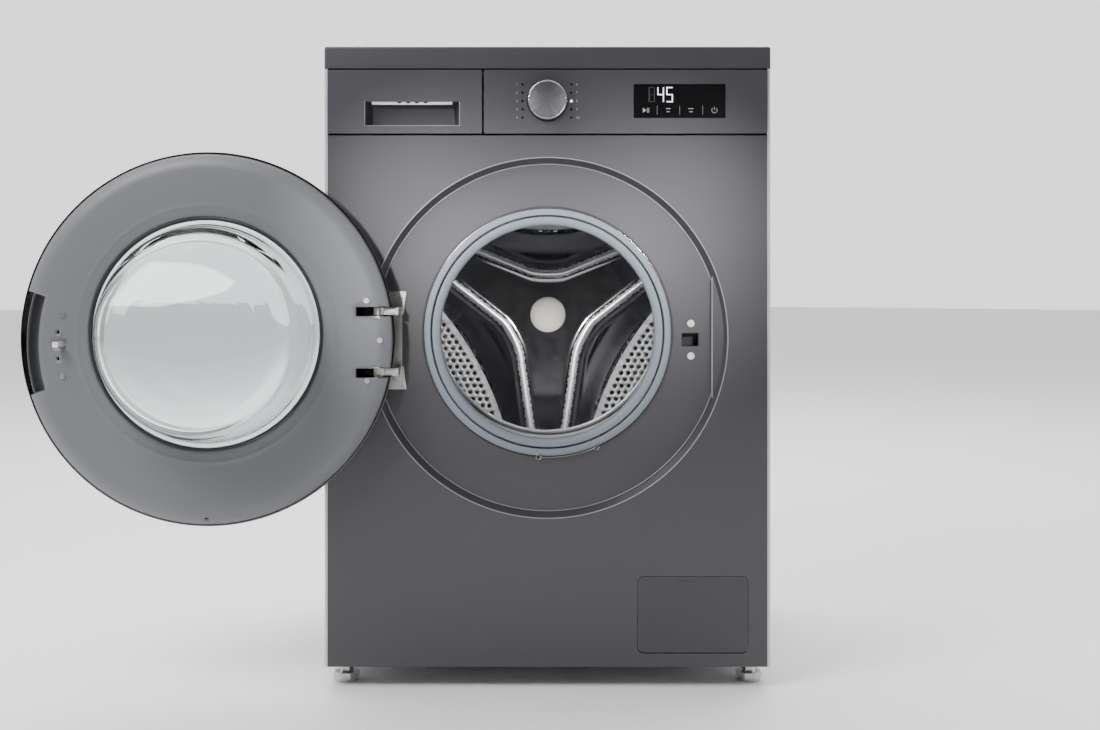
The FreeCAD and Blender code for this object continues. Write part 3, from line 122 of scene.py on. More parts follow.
def maths(tree: bpy.types.NodeTree, operation: str, *terms: object) -> bpy.types.NodeSocket:
    """Adds a math node.

    Args:
        tree: the node tree to add to.
        operation: the node's operation.
        terms: sockets or plain numbers, in order.

    Returns:
        The result.
    """
    node = add(tree, "ShaderNodeMath", operation=operation)
    for k, term in enumerate(terms):
        if isinstance(term, float):
            node.inputs[k].default_value = term
        else:
            tree.links.new(term, node.inputs[k])
    return node.outputs[0]


class Coat(Enum):
    """How much clear gloss lies over a finish."""

    NONE = 0.0
    THIN = 0.25
    FULL = 1.0


# ---------------------------------------------------------------- finishes
@dataclass(frozen=True)
class Look:
    """What a piece is made of."""

    name: str

    def material(self) -> bpy.types.Material:
        """Builds the material once.

        Returns:
            The material of this name.
        """
        made = bpy.data.materials.get(self.name)
        if made:
            return made
        made = bpy.data.materials.new(self.name)
        made.use_nodes = True
        made.node_tree.nodes.clear()
        surface = self.shade(made.node_tree)
        add(made.node_tree, "ShaderNodeOutputMaterial", {"Surface": surface})
        return made

    def shade(self, tree: bpy.types.NodeTree) -> bpy.types.NodeSocket:
        """Adds the shader.

        Args:
            tree: the material's node tree.

        Returns:
            The shader's output.
        """
        raise NotImplementedError


@dataclass(frozen=True)
class Finish(Look):
    """A surface with a fine grain in its colour, roughness and relief."""

    colour: str
    second: str
    roughness: float = 0.5
    metallic: float = 0.0
    grain_mm: float = 2.0
    relief_mm: float = 0.02
    spread: float = 0.06
    coat: Coat = Coat.NONE
    ior: float = 1.5

    def grain(self, tree: bpy.types.NodeTree) -> bpy.types.NodeSocket:
        """Adds the pattern that colour, roughness and relief share.

        Args:
            tree: the material's node tree.

        Returns:
            The pattern's value, from 0 to 1.
        """
        place = add(tree, "ShaderNodeTexCoord")
        noise = add(tree, "ShaderNodeTexNoise", {"Vector": place.outputs["Object"]},
                    {"Scale": 1.0 / (self.grain_mm * MM), "Detail": 3.0, "Roughness": 0.55})
        return noise.outputs["Fac"]

    def shade(self, tree: bpy.types.NodeTree) -> bpy.types.NodeSocket:
        """Links the pattern to the shader.

        Args:
            tree: the material's node tree.

        Returns:
            The shader's output.
        """
        fac = self.grain(tree)
        colour = add(tree, "ShaderNodeMix", {"Factor": fac}, data_type="RGBA")
        colour.inputs[6].default_value = srgb(self.colour)
        colour.inputs[7].default_value = srgb(self.second)
        rough = add(tree, "ShaderNodeMapRange", {"Value": fac},
                    {"To Min": max(self.roughness - self.spread, 0.0),
                     "To Max": min(self.roughness + self.spread, 1.0)})
        bump = add(tree, "ShaderNodeBump", {"Height": fac},
                   {"Strength": 0.6, "Distance": self.relief_mm * MM})
        shader = add(tree, "ShaderNodeBsdfPrincipled",
                     {"Base Color": colour.outputs[2], "Roughness": rough.outputs[0],
                      "Normal": bump.outputs[0]},
                     {"Metallic": self.metallic, "IOR": self.ior,
                      "Coat Weight": self.coat.value, "Coat Roughness": 0.08})
        return shader.outputs[0]


@dataclass(frozen=True)
class Spangled(Finish):
    """Hot dip galvanised sheet: large flat crystals, each a slightly different grey."""

    spangle_mm: float = 9.0

    def grain(self, tree: bpy.types.NodeTree) -> bpy.types.NodeSocket:
        """Adds the crystal pattern.

        Args:
            tree: the material's node tree.

        Returns:
            One value for each crystal.
        """
        place = add(tree, "ShaderNodeTexCoord")
        cells = add(tree, "ShaderNodeTexVoronoi", {"Vector": place.outputs["Object"]},
                    {"Scale": 1.0 / (self.spangle_mm * MM)})
        shade = add(tree, "ShaderNodeSeparateColor", {0: cells.outputs["Color"]})
        return shade.outputs[0]


@dataclass(frozen=True)
class SpunFace(Finish):
    """Metal turned on a lathe about the Y axis, its colour swinging from dark to pale with the
    angle: painted highlights for the fans of light from the centre.
    """

    centre: Point = (0.0, 0.0, 0.0)

    def grain(self, tree: bpy.types.NodeTree) -> bpy.types.NodeSocket:
        """Adds a pattern that changes only with the angle about the centre.

        Args:
            tree: the material's node tree.

        Returns:
            The pattern's value, from 0 to 1.
        """
        place = add(tree, "ShaderNodeTexCoord")
        moved = add(tree, "ShaderNodeVectorMath", {0: place.outputs["Object"]},
                    {1: tuple(-c for c in self.centre)}, operation="ADD")
        axes = add(tree, "ShaderNodeSeparateXYZ", {0: moved.outputs[0]})
        angle = maths(tree, "ARCTAN2", axes.outputs["X"], axes.outputs["Z"])
        around = add(tree, "ShaderNodeCombineXYZ", {"X": angle})
        noise = add(tree, "ShaderNodeTexNoise", {"Vector": around.outputs[0]},
                    {"Scale": 2.2, "Detail": 6.0, "Roughness": 0.75})
        return noise.outputs["Fac"]


@dataclass(frozen=True)
class ClearGlass(Look):
    """Pressed soda lime glass: clear, with a faint cool tint and sharp reflections."""

    tint: str = "#F4FAFA"
    roughness: float = 0.02
    wave_mm: float = 60.0
    relief_mm: float = 0.4

    def shade(self, tree: bpy.types.NodeTree) -> bpy.types.NodeSocket:
        """Adds clear glass with the slight waves of pressing.

        Args:
            tree: the material's node tree.

        Returns:
            The shader's output.
        """
        place = add(tree, "ShaderNodeTexCoord")
        waves = add(tree, "ShaderNodeTexNoise", {"Vector": place.outputs["Object"]},
                    {"Scale": 1.0 / (self.wave_mm * MM), "Detail": 1.0})
        bump = add(tree, "ShaderNodeBump", {"Height": waves.outputs["Fac"]},
                   {"Strength": 0.15, "Distance": self.relief_mm * MM})
        shader = add(tree, "ShaderNodeBsdfPrincipled", {"Normal": bump.outputs[0]},
                     {"Base Color": srgb(self.tint), "Roughness": self.roughness,
                      "IOR": 1.46, "Transmission Weight": 1.0})
        return shader.outputs[0]


@dataclass(frozen=True)
class Lit(Look):
    """A lit display segment or lamp behind clear plastic."""

    colour: str
    strength: float

    def shade(self, tree: bpy.types.NodeTree) -> bpy.types.NodeSocket:
        """Adds a glowing plastic.

        Args:
            tree: the material's node tree.

        Returns:
            The shader's output.
        """
        shader = add(tree, "ShaderNodeBsdfPrincipled", None,
                     {"Base Color": srgb(self.colour), "Roughness": 0.3,
                      "Emission Color": srgb(self.colour), "Emission Strength": self.strength})
        return shader.outputs[0]


# Powder coated steel: a slate grey coat with a faint orange peel over the sheet.
SLATE = Finish("slate_powder_coat", "#3A393E", "#403F44", 0.4, 0.1, 0.9, 0.012, 0.04, Coat.THIN)
# The side sheets carry a pale silver coat.
SILVER = Finish("silver_powder_coat", "#B9B8BC", "#C4C3C7", 0.36, 0.45, 0.8, 0.012, 0.04,
                Coat.THIN)
# Moulded ABS, painted to match the slate steel: a little smoother.
SLATE_ABS = Finish("slate_painted_abs", "#3D3C41", "#424146", 0.42, 0.1, 0.7, 0.010, 0.03)
# Moulded ABS on the door: mid grey with a fine spark erosion texture.
DOOR_ABS = Finish("grey_moulded_abs", "#66676B", "#6C6D71", 0.46, 0.0, 0.5, 0.018, 0.05)
# The finger cup of the door is the same plastic made darker: painted shade in the recessed cup.
CUP_SHADE_ABS = Finish("door_abs_painted_shade", "#4A4B4F", "#505155", 0.48, 0.0, 0.5, 0.018, 0.05)
# Piano black ABS: deep black with a wet gloss.
PIANO = Finish("gloss_black_abs", "#08080A", "#0C0C0E", 0.09, 0.0, 4.0, 0.002, 0.02, Coat.FULL)
# Matt black nylon for grommets and clips.
NYLON = Finish("black_nylon", "#17171A", "#1F1F22", 0.5, 0.0, 0.6, 0.02)
# Cold rolled stainless, electropolished: a mirror that takes its light from the room, its colour
# darker than bare stainless as painted shade for the dark room it mirrors.
STAINLESS = Finish("polished_stainless", "#86868A", "#929296", 0.12, 1.0, 14.0, 0.004, 0.03)
# The shell of the drum is more satin than its pressed back.
SATIN_STEEL = Finish("satin_stainless", "#D2D2D5", "#DEDEE0", 0.42, 1.0, 5.0, 0.006, 0.04)
# The punched bands of the drum: a pale, less metallic stainless that is painted light, keeping the
# bands bright and even.
PUNCHED_LIGHT_STEEL = Finish("punched_stainless_painted_light", "#E6E6E9", "#F0F0F2", 0.5, 0.55, 5.0, 0.006, 0.04)
# The pressed ridges: a satin stainless much paler than the flats, a painted highlight where the
# ridges catch the light.
RIDGE_HIGHLIGHT_STEEL = Finish("stainless_ridge_painted_highlight", "#E4E4E7", "#EEEEF0", 0.34, 0.85, 5.0, 0.004, 0.04)
# Zinc plate on small steel parts: bright with cloudy patches.
ZINC = Finish("zinc_plate", "#B4B3AF", "#CFCECA", 0.3, 1.0, 6.0, 0.008, 0.08)
# Painted highlight: a paler satin slate for the thin wires on the recess's rolled edge and the
# drawer pocket's edge, where the edges catch the light.
EDGE = Finish("slate_edge_painted_highlight", "#8B8A93", "#96959E", 0.35, 0.2, 0.8, 0.004, 0.04)
# Hot dip galvanised sheet.
GALVANISED = Spangled("galvanised_sheet", "#8F9295", "#B5B8BB", 0.42, 0.85, 1.0, 0.004, 0.06)
# Chrome plate on the knob's ring.
CHROME = Finish("chrome_plate", "#D6D7DA", "#DFE0E3", 0.07, 1.0, 8.0, 0.001, 0.02)
# Moulded EPDM: a pale blue grey rubber with a soft bloom.
GASKET_RUBBER = Finish("grey_epdm", "#6F767E", "#798088", 0.5, 0.0, 1.5, 0.012, 0.05)
# Black rubber for hoses.
HOSE_RUBBER = Finish("black_epdm", "#141416", "#1C1C1E", 0.6, 0.0, 1.2, 0.02)
# Natural polypropylene with mineral filler: the tub.
TUB_PP = Finish("filled_polypropylene", "#A9ACAB", "#B6B9B8", 0.5, 0.0, 1.4, 0.02)
# White polypropylene: drawer, housings and pump.
WHITE_PP = Finish("white_polypropylene", "#DADAD6", "#E4E4E0", 0.42, 0.0, 1.0, 0.012)
# Cast concrete counterweight.
CONCRETE = Finish("cast_concrete", "#85837E", "#A19F99", 0.85, 0.0, 3.0, 0.25)
# Enamelled copper and laminated iron of the stator.
WINDING = Finish("enamelled_copper", "#7A3E1E", "#9C5A30", 0.35, 0.8, 0.8, 0.05)
# Black stoved enamel on the rotor cup and damper tubes.
ENAMEL = Finish("black_stoving_enamel", "#1B1B1D", "#242427", 0.38, 0.2, 1.0, 0.02)
# Die cast aluminium: the drum spider.
CAST_ALLOY = Finish("die_cast_aluminium", "#9EA1A4", "#B2B5B8", 0.42, 0.95, 1.2, 0.03)
# Spring steel, lightly oiled.
SPRING_STEEL = Finish("oiled_spring_steel", "#5A5A5C", "#6C6C6E", 0.32, 1.0, 1.5, 0.006)
# Moulded cap over the drum's hub: warm pale grey.
HUB_PLASTIC = Finish("pale_hub_polymer", "#B3ADA4", "#BAB4AB", 0.55, 0.0, 1.0, 0.008)
# Cream lacquer on the lock's screws.
CREAM = Finish("cream_lacquer", "#D9D4C6", "#E2DDCF", 0.45, 0.0, 1.0, 0.01)
# Green solder mask of the circuit board.
BOARD = Finish("solder_mask", "#1E4A2C", "#245634", 0.35, 0.0, 1.0, 0.01, 0.05, Coat.THIN)
# Smoked lens of an unlit lamp.
LENS = Finish("smoked_lens", "#161618", "#1C1C1F", 0.15, 0.0, 1.0, 0.002, 0.02, Coat.FULL)
# Silk screened ink.
PRINT = Finish("screen_print_ink", "#9B9AA0", "#A6A5AB", 0.5, 0.0, 0.5, 0.004)
# Silver insert in the drawer's grip.
INSERT = Finish("silver_insert", "#C9C9CD", "#D6D6DA", 0.3, 0.6, 1.0, 0.004, 0.04)
# Floor of the studio.
STUDIO = Finish("studio_floor", "#F4F4F4", "#F8F8F8", 0.7, 0.0, 40.0, 0.01)
GLASS = ClearGlass("pressed_clear_glass")
GLOW = Lit("display_glow", "#F2F6FF", 2.2)
# The unlit segments glow faintly: painted light, since they are no lamp while off.
UNLIT_GLOW = Lit("display_ghost", "#2A2A2D", 0.05)
ICON = Lit("display_icon", "#8F9092", 0.35)


# ---------------------------------------------------------------- mesh making
def placed(name: str, data: bpy.types.ID) -> bpy.types.Object:
    """Makes an object and links it to the scene.

    Args:
        name: the object's name.
        data: its mesh, curve, lamp or camera.

    Returns:
        The new object.
    """
    made = bpy.data.objects.new(name, data)
    bpy.context.scene.collection.objects.link(made)
    return made


def settled(made: bpy.types.Object) -> bpy.types.Mesh:
    """Takes an object's shape as its modifiers or its curve leave it.

    Args:
        made: the object, which stays as it is.

    Returns:
        A new plain mesh.
    """
    bpy.context.view_layer.update()
    seen = made.evaluated_get(bpy.context.evaluated_depsgraph_get())
    return bpy.data.meshes.new_from_object(seen)


def piece(name: str, verts: Iterable[Sequence[float]], faces: Iterable[Sequence[int]],
          finish: Look, body: str | None, sharp: float = 32.0, outward: bool = False
          ) -> bpy.types.Object:
    """Makes a mesh object with one finish that rides on a body.

    Args:
        name: the object's name.
        verts: its corners, in metres.
        faces: its faces, as corner numbers.
        finish: what it is made of.
        body: the body that it moves with, or None if it bends between two bodies.
        sharp: edges steeper than this angle in degrees stay crisp.
        outward: whether the normals are worked out anew.

    Returns:
        The new object.
    """
    mesh = bpy.data.meshes.new(name)
    mesh.from_pydata([tuple(v) for v in verts], [], [tuple(f) for f in faces])
    work = bmesh.new()
    work.from_mesh(mesh)
    bmesh.ops.remove_doubles(work, verts=work.verts, dist=0.002 * MM)
    stray = [e for e in work.edges if not e.link_faces]
    bmesh.ops.delete(work, geom=stray, context="EDGES")
    if outward:
        bmesh.ops.recalc_face_normals(work, faces=work.faces)
    work.to_mesh(mesh)
    work.free()
    mesh.shade_smooth()
    mesh.set_sharp_from_angle(angle=math.radians(sharp))
    made = placed(name, mesh)
    made.data.materials.append(finish.material())
    if body:
        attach(made, body)
    LOG.info("%s: %d faces on %s", name, len(mesh.polygons), body)
    return made


def rounded(points: Sequence[tuple[float, ...]], steps: int = 5, closed: bool = True) -> list[Flat]:
    """Rounds the corners of an outline.

    Args:
        points: corners as (u, v, radius), the radius 0 for a crisp corner.
        steps: points along each rounded corner.
        closed: whether the last corner joins the first.

    Returns:
        The outline's points.
    """
    out: list[Flat] = []
    count = len(points)
    for i, item in enumerate(points):
        here = Vector(item[:2])
        radius = item[2] if len(item) > 2 else 0.0
        if radius <= 0 or (not closed and i in (0, count - 1)):
            out.append((here.x, here.y))
            continue
        before = (Vector(points[i - 1][:2]) - here)
        after = (Vector(points[(i + 1) % count][:2]) - here)
        reach = min(radius, before.length * 0.49, after.length * 0.49)
        a = here + before.normalized() * reach
        b = here + after.normalized() * reach
        for k in range(steps + 1):
            t = k / steps
            spot = a * (1 - t) ** 2 + here * 2 * t * (1 - t) + b * t ** 2
            out.append((spot.x, spot.y))
    return out


def turned(profile: Sequence[tuple[float, ...]], depth0: float, segments: int = 180,
           closed: bool = True, shape: Callable[[float, float, float], Point] | None = None
           ) -> tuple[list[Point], list[tuple[int, ...]]]:
    """Turns an outline about a Y axis.

    Args:
        profile: (radius, depth, centre height) in millimetres, depth behind depth0.
        depth0: the Y place of depth 0, in metres.
        segments: steps round the circle.
        closed: whether the outline's ends are joined.
        shape: changes each finished point.

    Returns:
        Corners and faces.
    """
    verts: list[Point] = []
    for radius, depth, height in profile:
        for k in range(segments):
            a = 2 * math.pi * k / segments
            spot = (radius * MM * math.cos(a), depth0 + depth * MM,
                    height + radius * MM * math.sin(a))
            verts.append(shape(*spot) if shape else spot)
    faces: list[tuple[int, ...]] = []
    rows = len(profile)
    for i in range(rows if closed else rows - 1):
        j = (i + 1) % rows
        for k in range(segments):
            n = (k + 1) % segments
            faces.append((i * segments + k, i * segments + n, j * segments + n, j * segments + k))
    return verts, faces


def sheet_with_holes(outline: Sequence[Flat], holes: Sequence[Sequence[Flat]], step: float,
                     fills: Sequence[Flat] = ()) -> tuple[list[Flat], list[tuple[int, ...]]]:
    """Fills a flat outline with small triangles round its holes.

    Args:
        outline: the outer loop.
        holes: the inner loops.
        step: spacing of the points between them.
        fills: points that are wanted besides the even ones.

    Returns:
        Flat corners and triangles.
    """
    loops = [list(outline), *[list(h) for h in holes]]
    coords, edges = rims(loops)
    lo_u = min(p[0] for p in outline)
    hi_u = max(p[0] for p in outline)
    lo_v = min(p[1] for p in outline)
    hi_v = max(p[1] for p in outline)
    tests = [Region(loop) for loop in loops]
    row = 0
    v = lo_v + step * 0.5
    while v < hi_v:
        u = lo_u + (step * 0.5 if row % 2 else step)
        while u < hi_u:
            clear = not any(t.near(u, v, step * 0.45) for t in tests[1:])
            if clear and tests[0].deep(u, v, step * 0.35):
                coords.append(Vector((u, v)))
            u += step
        v += step * ROW_SHARE
        row += 1
    coords += [Vector(p) for p in fills]

    def wanted(u: float, v: float) -> bool:
        """Whether a triangle's middle is on the sheet.

        Args:
            u: across.
            v: up.

        Returns:
            True on the sheet.
        """
        return tests[0].inside(u, v) and not any(t.inside(u, v) for t in tests[1:])

    return netted(coords, edges, wanted, 1e-7)


def rims(loops: Sequence[Sequence[Flat]]) -> tuple[list[Vector], list[tuple[int, int]]]:
    """Lists the corners of closed loops with the edges that close them.

    Args:
        loops: the loops, one after the other.

    Returns:
        Corners, and edges as corner numbers.
    """
    coords: list[Vector] = []
    edges: list[tuple[int, int]] = []
    for loop in loops:
        start = len(coords)
        coords += [Vector(p) for p in loop]
        edges += [(start + i, start + (i + 1) % len(loop)) for i in range(len(loop))]
    return coords, edges


def netted(coords: Sequence[Vector], edges: Sequence[tuple[int, int]],
           wanted: Callable[[float, float], bool], weld: float
           ) -> tuple[list[Flat], list[tuple[int, ...]]]:
    """Joins flat points into triangles.

    Args:
        coords: the points.
        edges: edges that have to be kept.
        wanted: tells from a triangle's middle whether it stays.
        weld: points closer than this become one.

    Returns:
        Flat corners and triangles.
    """
    flat, _, tris, *_ = delaunay_2d_cdt(coords, edges, [], 0, weld)
    kept = []
    for tri in tris:
        u = sum(flat[i].x for i in tri) / 3
        v = sum(flat[i].y for i in tri) / 3
        if wanted(u, v):
            kept.append(tuple(tri))
    return [(p.x, p.y) for p in flat], kept


class Region:
    """A closed flat loop that knows what lies in it."""

    def __init__(self, loop: Sequence[Flat]) -> None:
        """Keeps the loop and its box.

        Args:
            loop: its corners in order.
        """
        self.loop = list(loop)
        self.lo = (min(p[0] for p in loop), min(p[1] for p in loop))
        self.hi = (max(p[0] for p in loop), max(p[1] for p in loop))

    def boxed(self, u: float, v: float, margin: float) -> bool:
        """Whether a point lies in the loop's box, grown by a margin.

        Args:
            u: across.
            v: up.
            margin: the distance.

        Returns:
            True inside.
        """
        return (self.lo[0] - margin < u < self.hi[0] + margin
                and self.lo[1] - margin < v < self.hi[1] + margin)

    def inside(self, u: float, v: float) -> bool:
        """Whether a point lies in the loop.

        Args:
            u: across.
            v: up.

        Returns:
            True inside.
        """
        if not self.boxed(u, v, 0.0):
            return False
        hit = False
        for (u0, v0), (u1, v1) in zip(self.loop, self.loop[1:] + self.loop[:1]):
            if (v0 > v) != (v1 > v) and u < (u1 - u0) * (v - v0) / (v1 - v0) + u0:
                hit = not hit
        return hit

    def gap(self, u: float, v: float) -> float:
        """Distance from a point to the loop's nearest edge.

        Args:
            u: across.
            v: up.

        Returns:
            The distance, whichever side the point is on.
        """
        best = 1e9
        for (u0, v0), (u1, v1) in zip(self.loop, self.loop[1:] + self.loop[:1]):
            du, dv = u1 - u0, v1 - v0
            size = du * du + dv * dv or 1e-12
            t = min(max(((u - u0) * du + (v - v0) * dv) / size, 0.0), 1.0)
            best = min(best, math.hypot(u - u0 - t * du, v - v0 - t * dv))
        return best

    def near(self, u: float, v: float, margin: float) -> bool:
        """Whether a point is in the loop or closer to it than a margin.

        Args:
            u: across.
            v: up.
            margin: the distance.

        Returns:
            True in or near it.
        """
        return self.boxed(u, v, margin) and (self.inside(u, v) or self.gap(u, v) < margin)

    def deep(self, u: float, v: float, margin: float) -> bool:
        """Whether a point is in the loop and farther from its edge than a margin.

        Args:
            u: across.
            v: up.
            margin: the distance.

        Returns:
            True deep inside.
        """
        return self.inside(u, v) and self.gap(u, v) > margin


def circle(cu: float, cv: float, radius: float, count: int, turn: float = 0.0) -> list[Flat]:
    """Points round a circle.

    Args:
        cu: its middle, across.
        cv: its middle, up.
        radius: its radius.
        count: how many points.
        turn: angle of the first, in radians.

    Returns:
        The points, anticlockwise.
    """
    return [(cu + radius * math.cos(turn + 2 * math.pi * k / count),
             cv + radius * math.sin(turn + 2 * math.pi * k / count)) for k in range(count)]


def arc(radius: float, start: float, stop: float, count: int) -> list[Flat]:
    """Points along an arc about the origin, with both ends.

    Args:
        radius: its radius.
        start: angle of the first point, in radians.
        stop: angle of the last.
        count: how many steps.

    Returns:
        The points in order.
    """
    turns = [start + (stop - start) * k / count for k in range(count + 1)]
    return [(radius * math.cos(a), radius * math.sin(a)) for a in turns]


def slot_loop(u0: float, u1: float, v0: float, v1: float, r: float) -> list[Flat]:
    """A rounded rectangle.

    Args:
        u0: its left side.
        u1: its right side.
        v0: its foot.
        v1: its top.
        r: radius of its corners.

    Returns:
        The points, anticlockwise.
    """
    return rounded([(u0, v0, r), (u1, v0, r), (u1, v1, r), (u0, v1, r)], 4)


def rect(u: float, v: float, wide: float, tall: float) -> list[Flat]:
    """A rectangle.

    Args:
        u: its left side.
        v: its foot.
        wide: its width.
        tall: its height.

    Returns:
        Its corners, anticlockwise.
    """
    return [(u, v), (u + wide, v), (u + wide, v + tall), (u, v + tall)]


def prism(name: str, loops: Sequence[Sequence[Flat]], y0: float, y1: float, finish: Look,
          body: str) -> bpy.types.Object:
    """Flat outlines seen from the front, pulled straight back.

    Args:
        name: the object's name.
        loops: outlines of (x, z) in metres.
        y0: Y place of the front.
        y1: Y place of the back.
        finish: what it is made of.
        body: the body that it moves with.

    Returns:
        The new object.
    """
    verts: list[Point] = []
    faces: list[tuple[int, ...]] = []
    for loop in loops:
        start, n = len(verts), len(loop)
        verts += [(u, y, v) for y in (y0, y1) for u, v in loop]
        faces.append(tuple(range(start, start + n)))
        faces += [(start + i, start + n + i, start + n + (i + 1) % n, start + (i + 1) % n)
                  for i in range(n)]
        faces.append(tuple(reversed(range(start + n, start + 2 * n))))
    return piece(name, verts, faces, finish, body, 30, True)


def thick(made: bpy.types.Object, amount: float, offset: float = -1.0) -> None:
    """Gives a sheet its wall.

    Args:
        made: the sheet.
        amount: wall in metres.
        offset: -1 grows it against the normals, 1 along them, 0 both ways.
    """
    wall = made.modifiers.new("wall", "SOLIDIFY")
    wall.thickness = amount
    wall.offset = offset
    wall.use_even_offset = False


def refined(node: str, finish: Look, body: str | None, bevel: float = 0.0, sharp: float = 32.0
            ) -> bpy.types.Object:
    """Copies a frame node with welded corners, smooth curves and soft edges.

    Args:
        node: the frame node.
        finish: what it is made of.
        body: the body that it moves with, or None if it bends between two bodies.
        bevel: width of the softened edges, in metres.
        sharp: edges steeper than this angle in degrees stay crisp.

    Returns:
        The new object, which stands for the node.
    """
    source = bpy.data.objects[FRAME_NODES[node].name]
    mesh = source.data.copy()
    mesh.name = node + "_skin"
    work = bmesh.new()
    work.from_mesh(mesh)
    bmesh.ops.remove_doubles(work, verts=work.verts, dist=0.004 * MM)
    if bevel:
        bmesh.ops.dissolve_limit(work, angle_limit=math.radians(0.4), verts=work.verts,
                                 edges=work.edges)
    work.to_mesh(mesh)
    work.free()
    mesh.materials.clear()
    mesh.materials.append(finish.material())
    if mesh.has_custom_normals:
        mesh.normals_split_custom_set([(0.0, 0.0, 0.0)] * len(mesh.loops))
    mesh.shade_smooth()
    mesh.set_sharp_from_angle(angle=math.radians(sharp))
    made = placed(node + "_skin", mesh)
    if bevel:
        soft = made.modifiers.new("soft edges", "BEVEL")
        soft.width = bevel
        soft.segments = 2
        soft.limit_method = "ANGLE"
        soft.angle_limit = math.radians(35)
        soft.harden_normals = True
        even = made.modifiers.new("even normals", "WEIGHTED_NORMAL")
        even.weight = 100
        even.keep_sharp = True
    if body:
        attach(made, body)
    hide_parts(node)
    LOG.info("%s: refined, %d faces on %s", node, len(mesh.polygons), body)
    return made


FRAME_NODES: dict[str, bpy.types.Object] = {}
TO_DOOR = Vector((0, -1, 0))


@dataclass
class Frame:
    """Places that every sub-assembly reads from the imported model."""

    front: float = 0.0
    ring: Vector = field(default_factory=Vector)
    mouth_z: float = 0.0
    axis_z: float = 0.0
    hinge: Vector = field(default_factory=Vector)
    panel_mid: float = 0.0

    @classmethod
    def read(cls, record: dict) -> "Frame":
        """Reads the places.

        Args:
            record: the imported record.

        Returns:
            The filled frame.
        """
        joints = {j["name"]: j for j in record["behaviour"]["joints"]}
        lo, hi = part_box("gasket_clamp")
        panel_lo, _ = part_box("front_panel")
        hinge = Vector(joints["door_swing"]["pos_m"])
        return cls(front=panel_lo[1], ring=Vector((0, panel_lo[1], hinge.z)),
                   mouth_z=(lo[2] + hi[2]) / 2,
                   axis_z=joints["drum_spin"]["pos_m"][2], hinge=hinge,
                   panel_mid=joints["knob_turn"]["pos_m"][2])

    def opened(self, x: float, y: float, z: float) -> Point:
        """Moves a point of the closed door to where it is with the door open.

        Args:
            x: its place across.
            y: its place in depth.
            z: its height.

        Returns:
            The place with the door open flat.
        """
        return (2 * self.hinge.x - x, 2 * self.hinge.y - y, z)


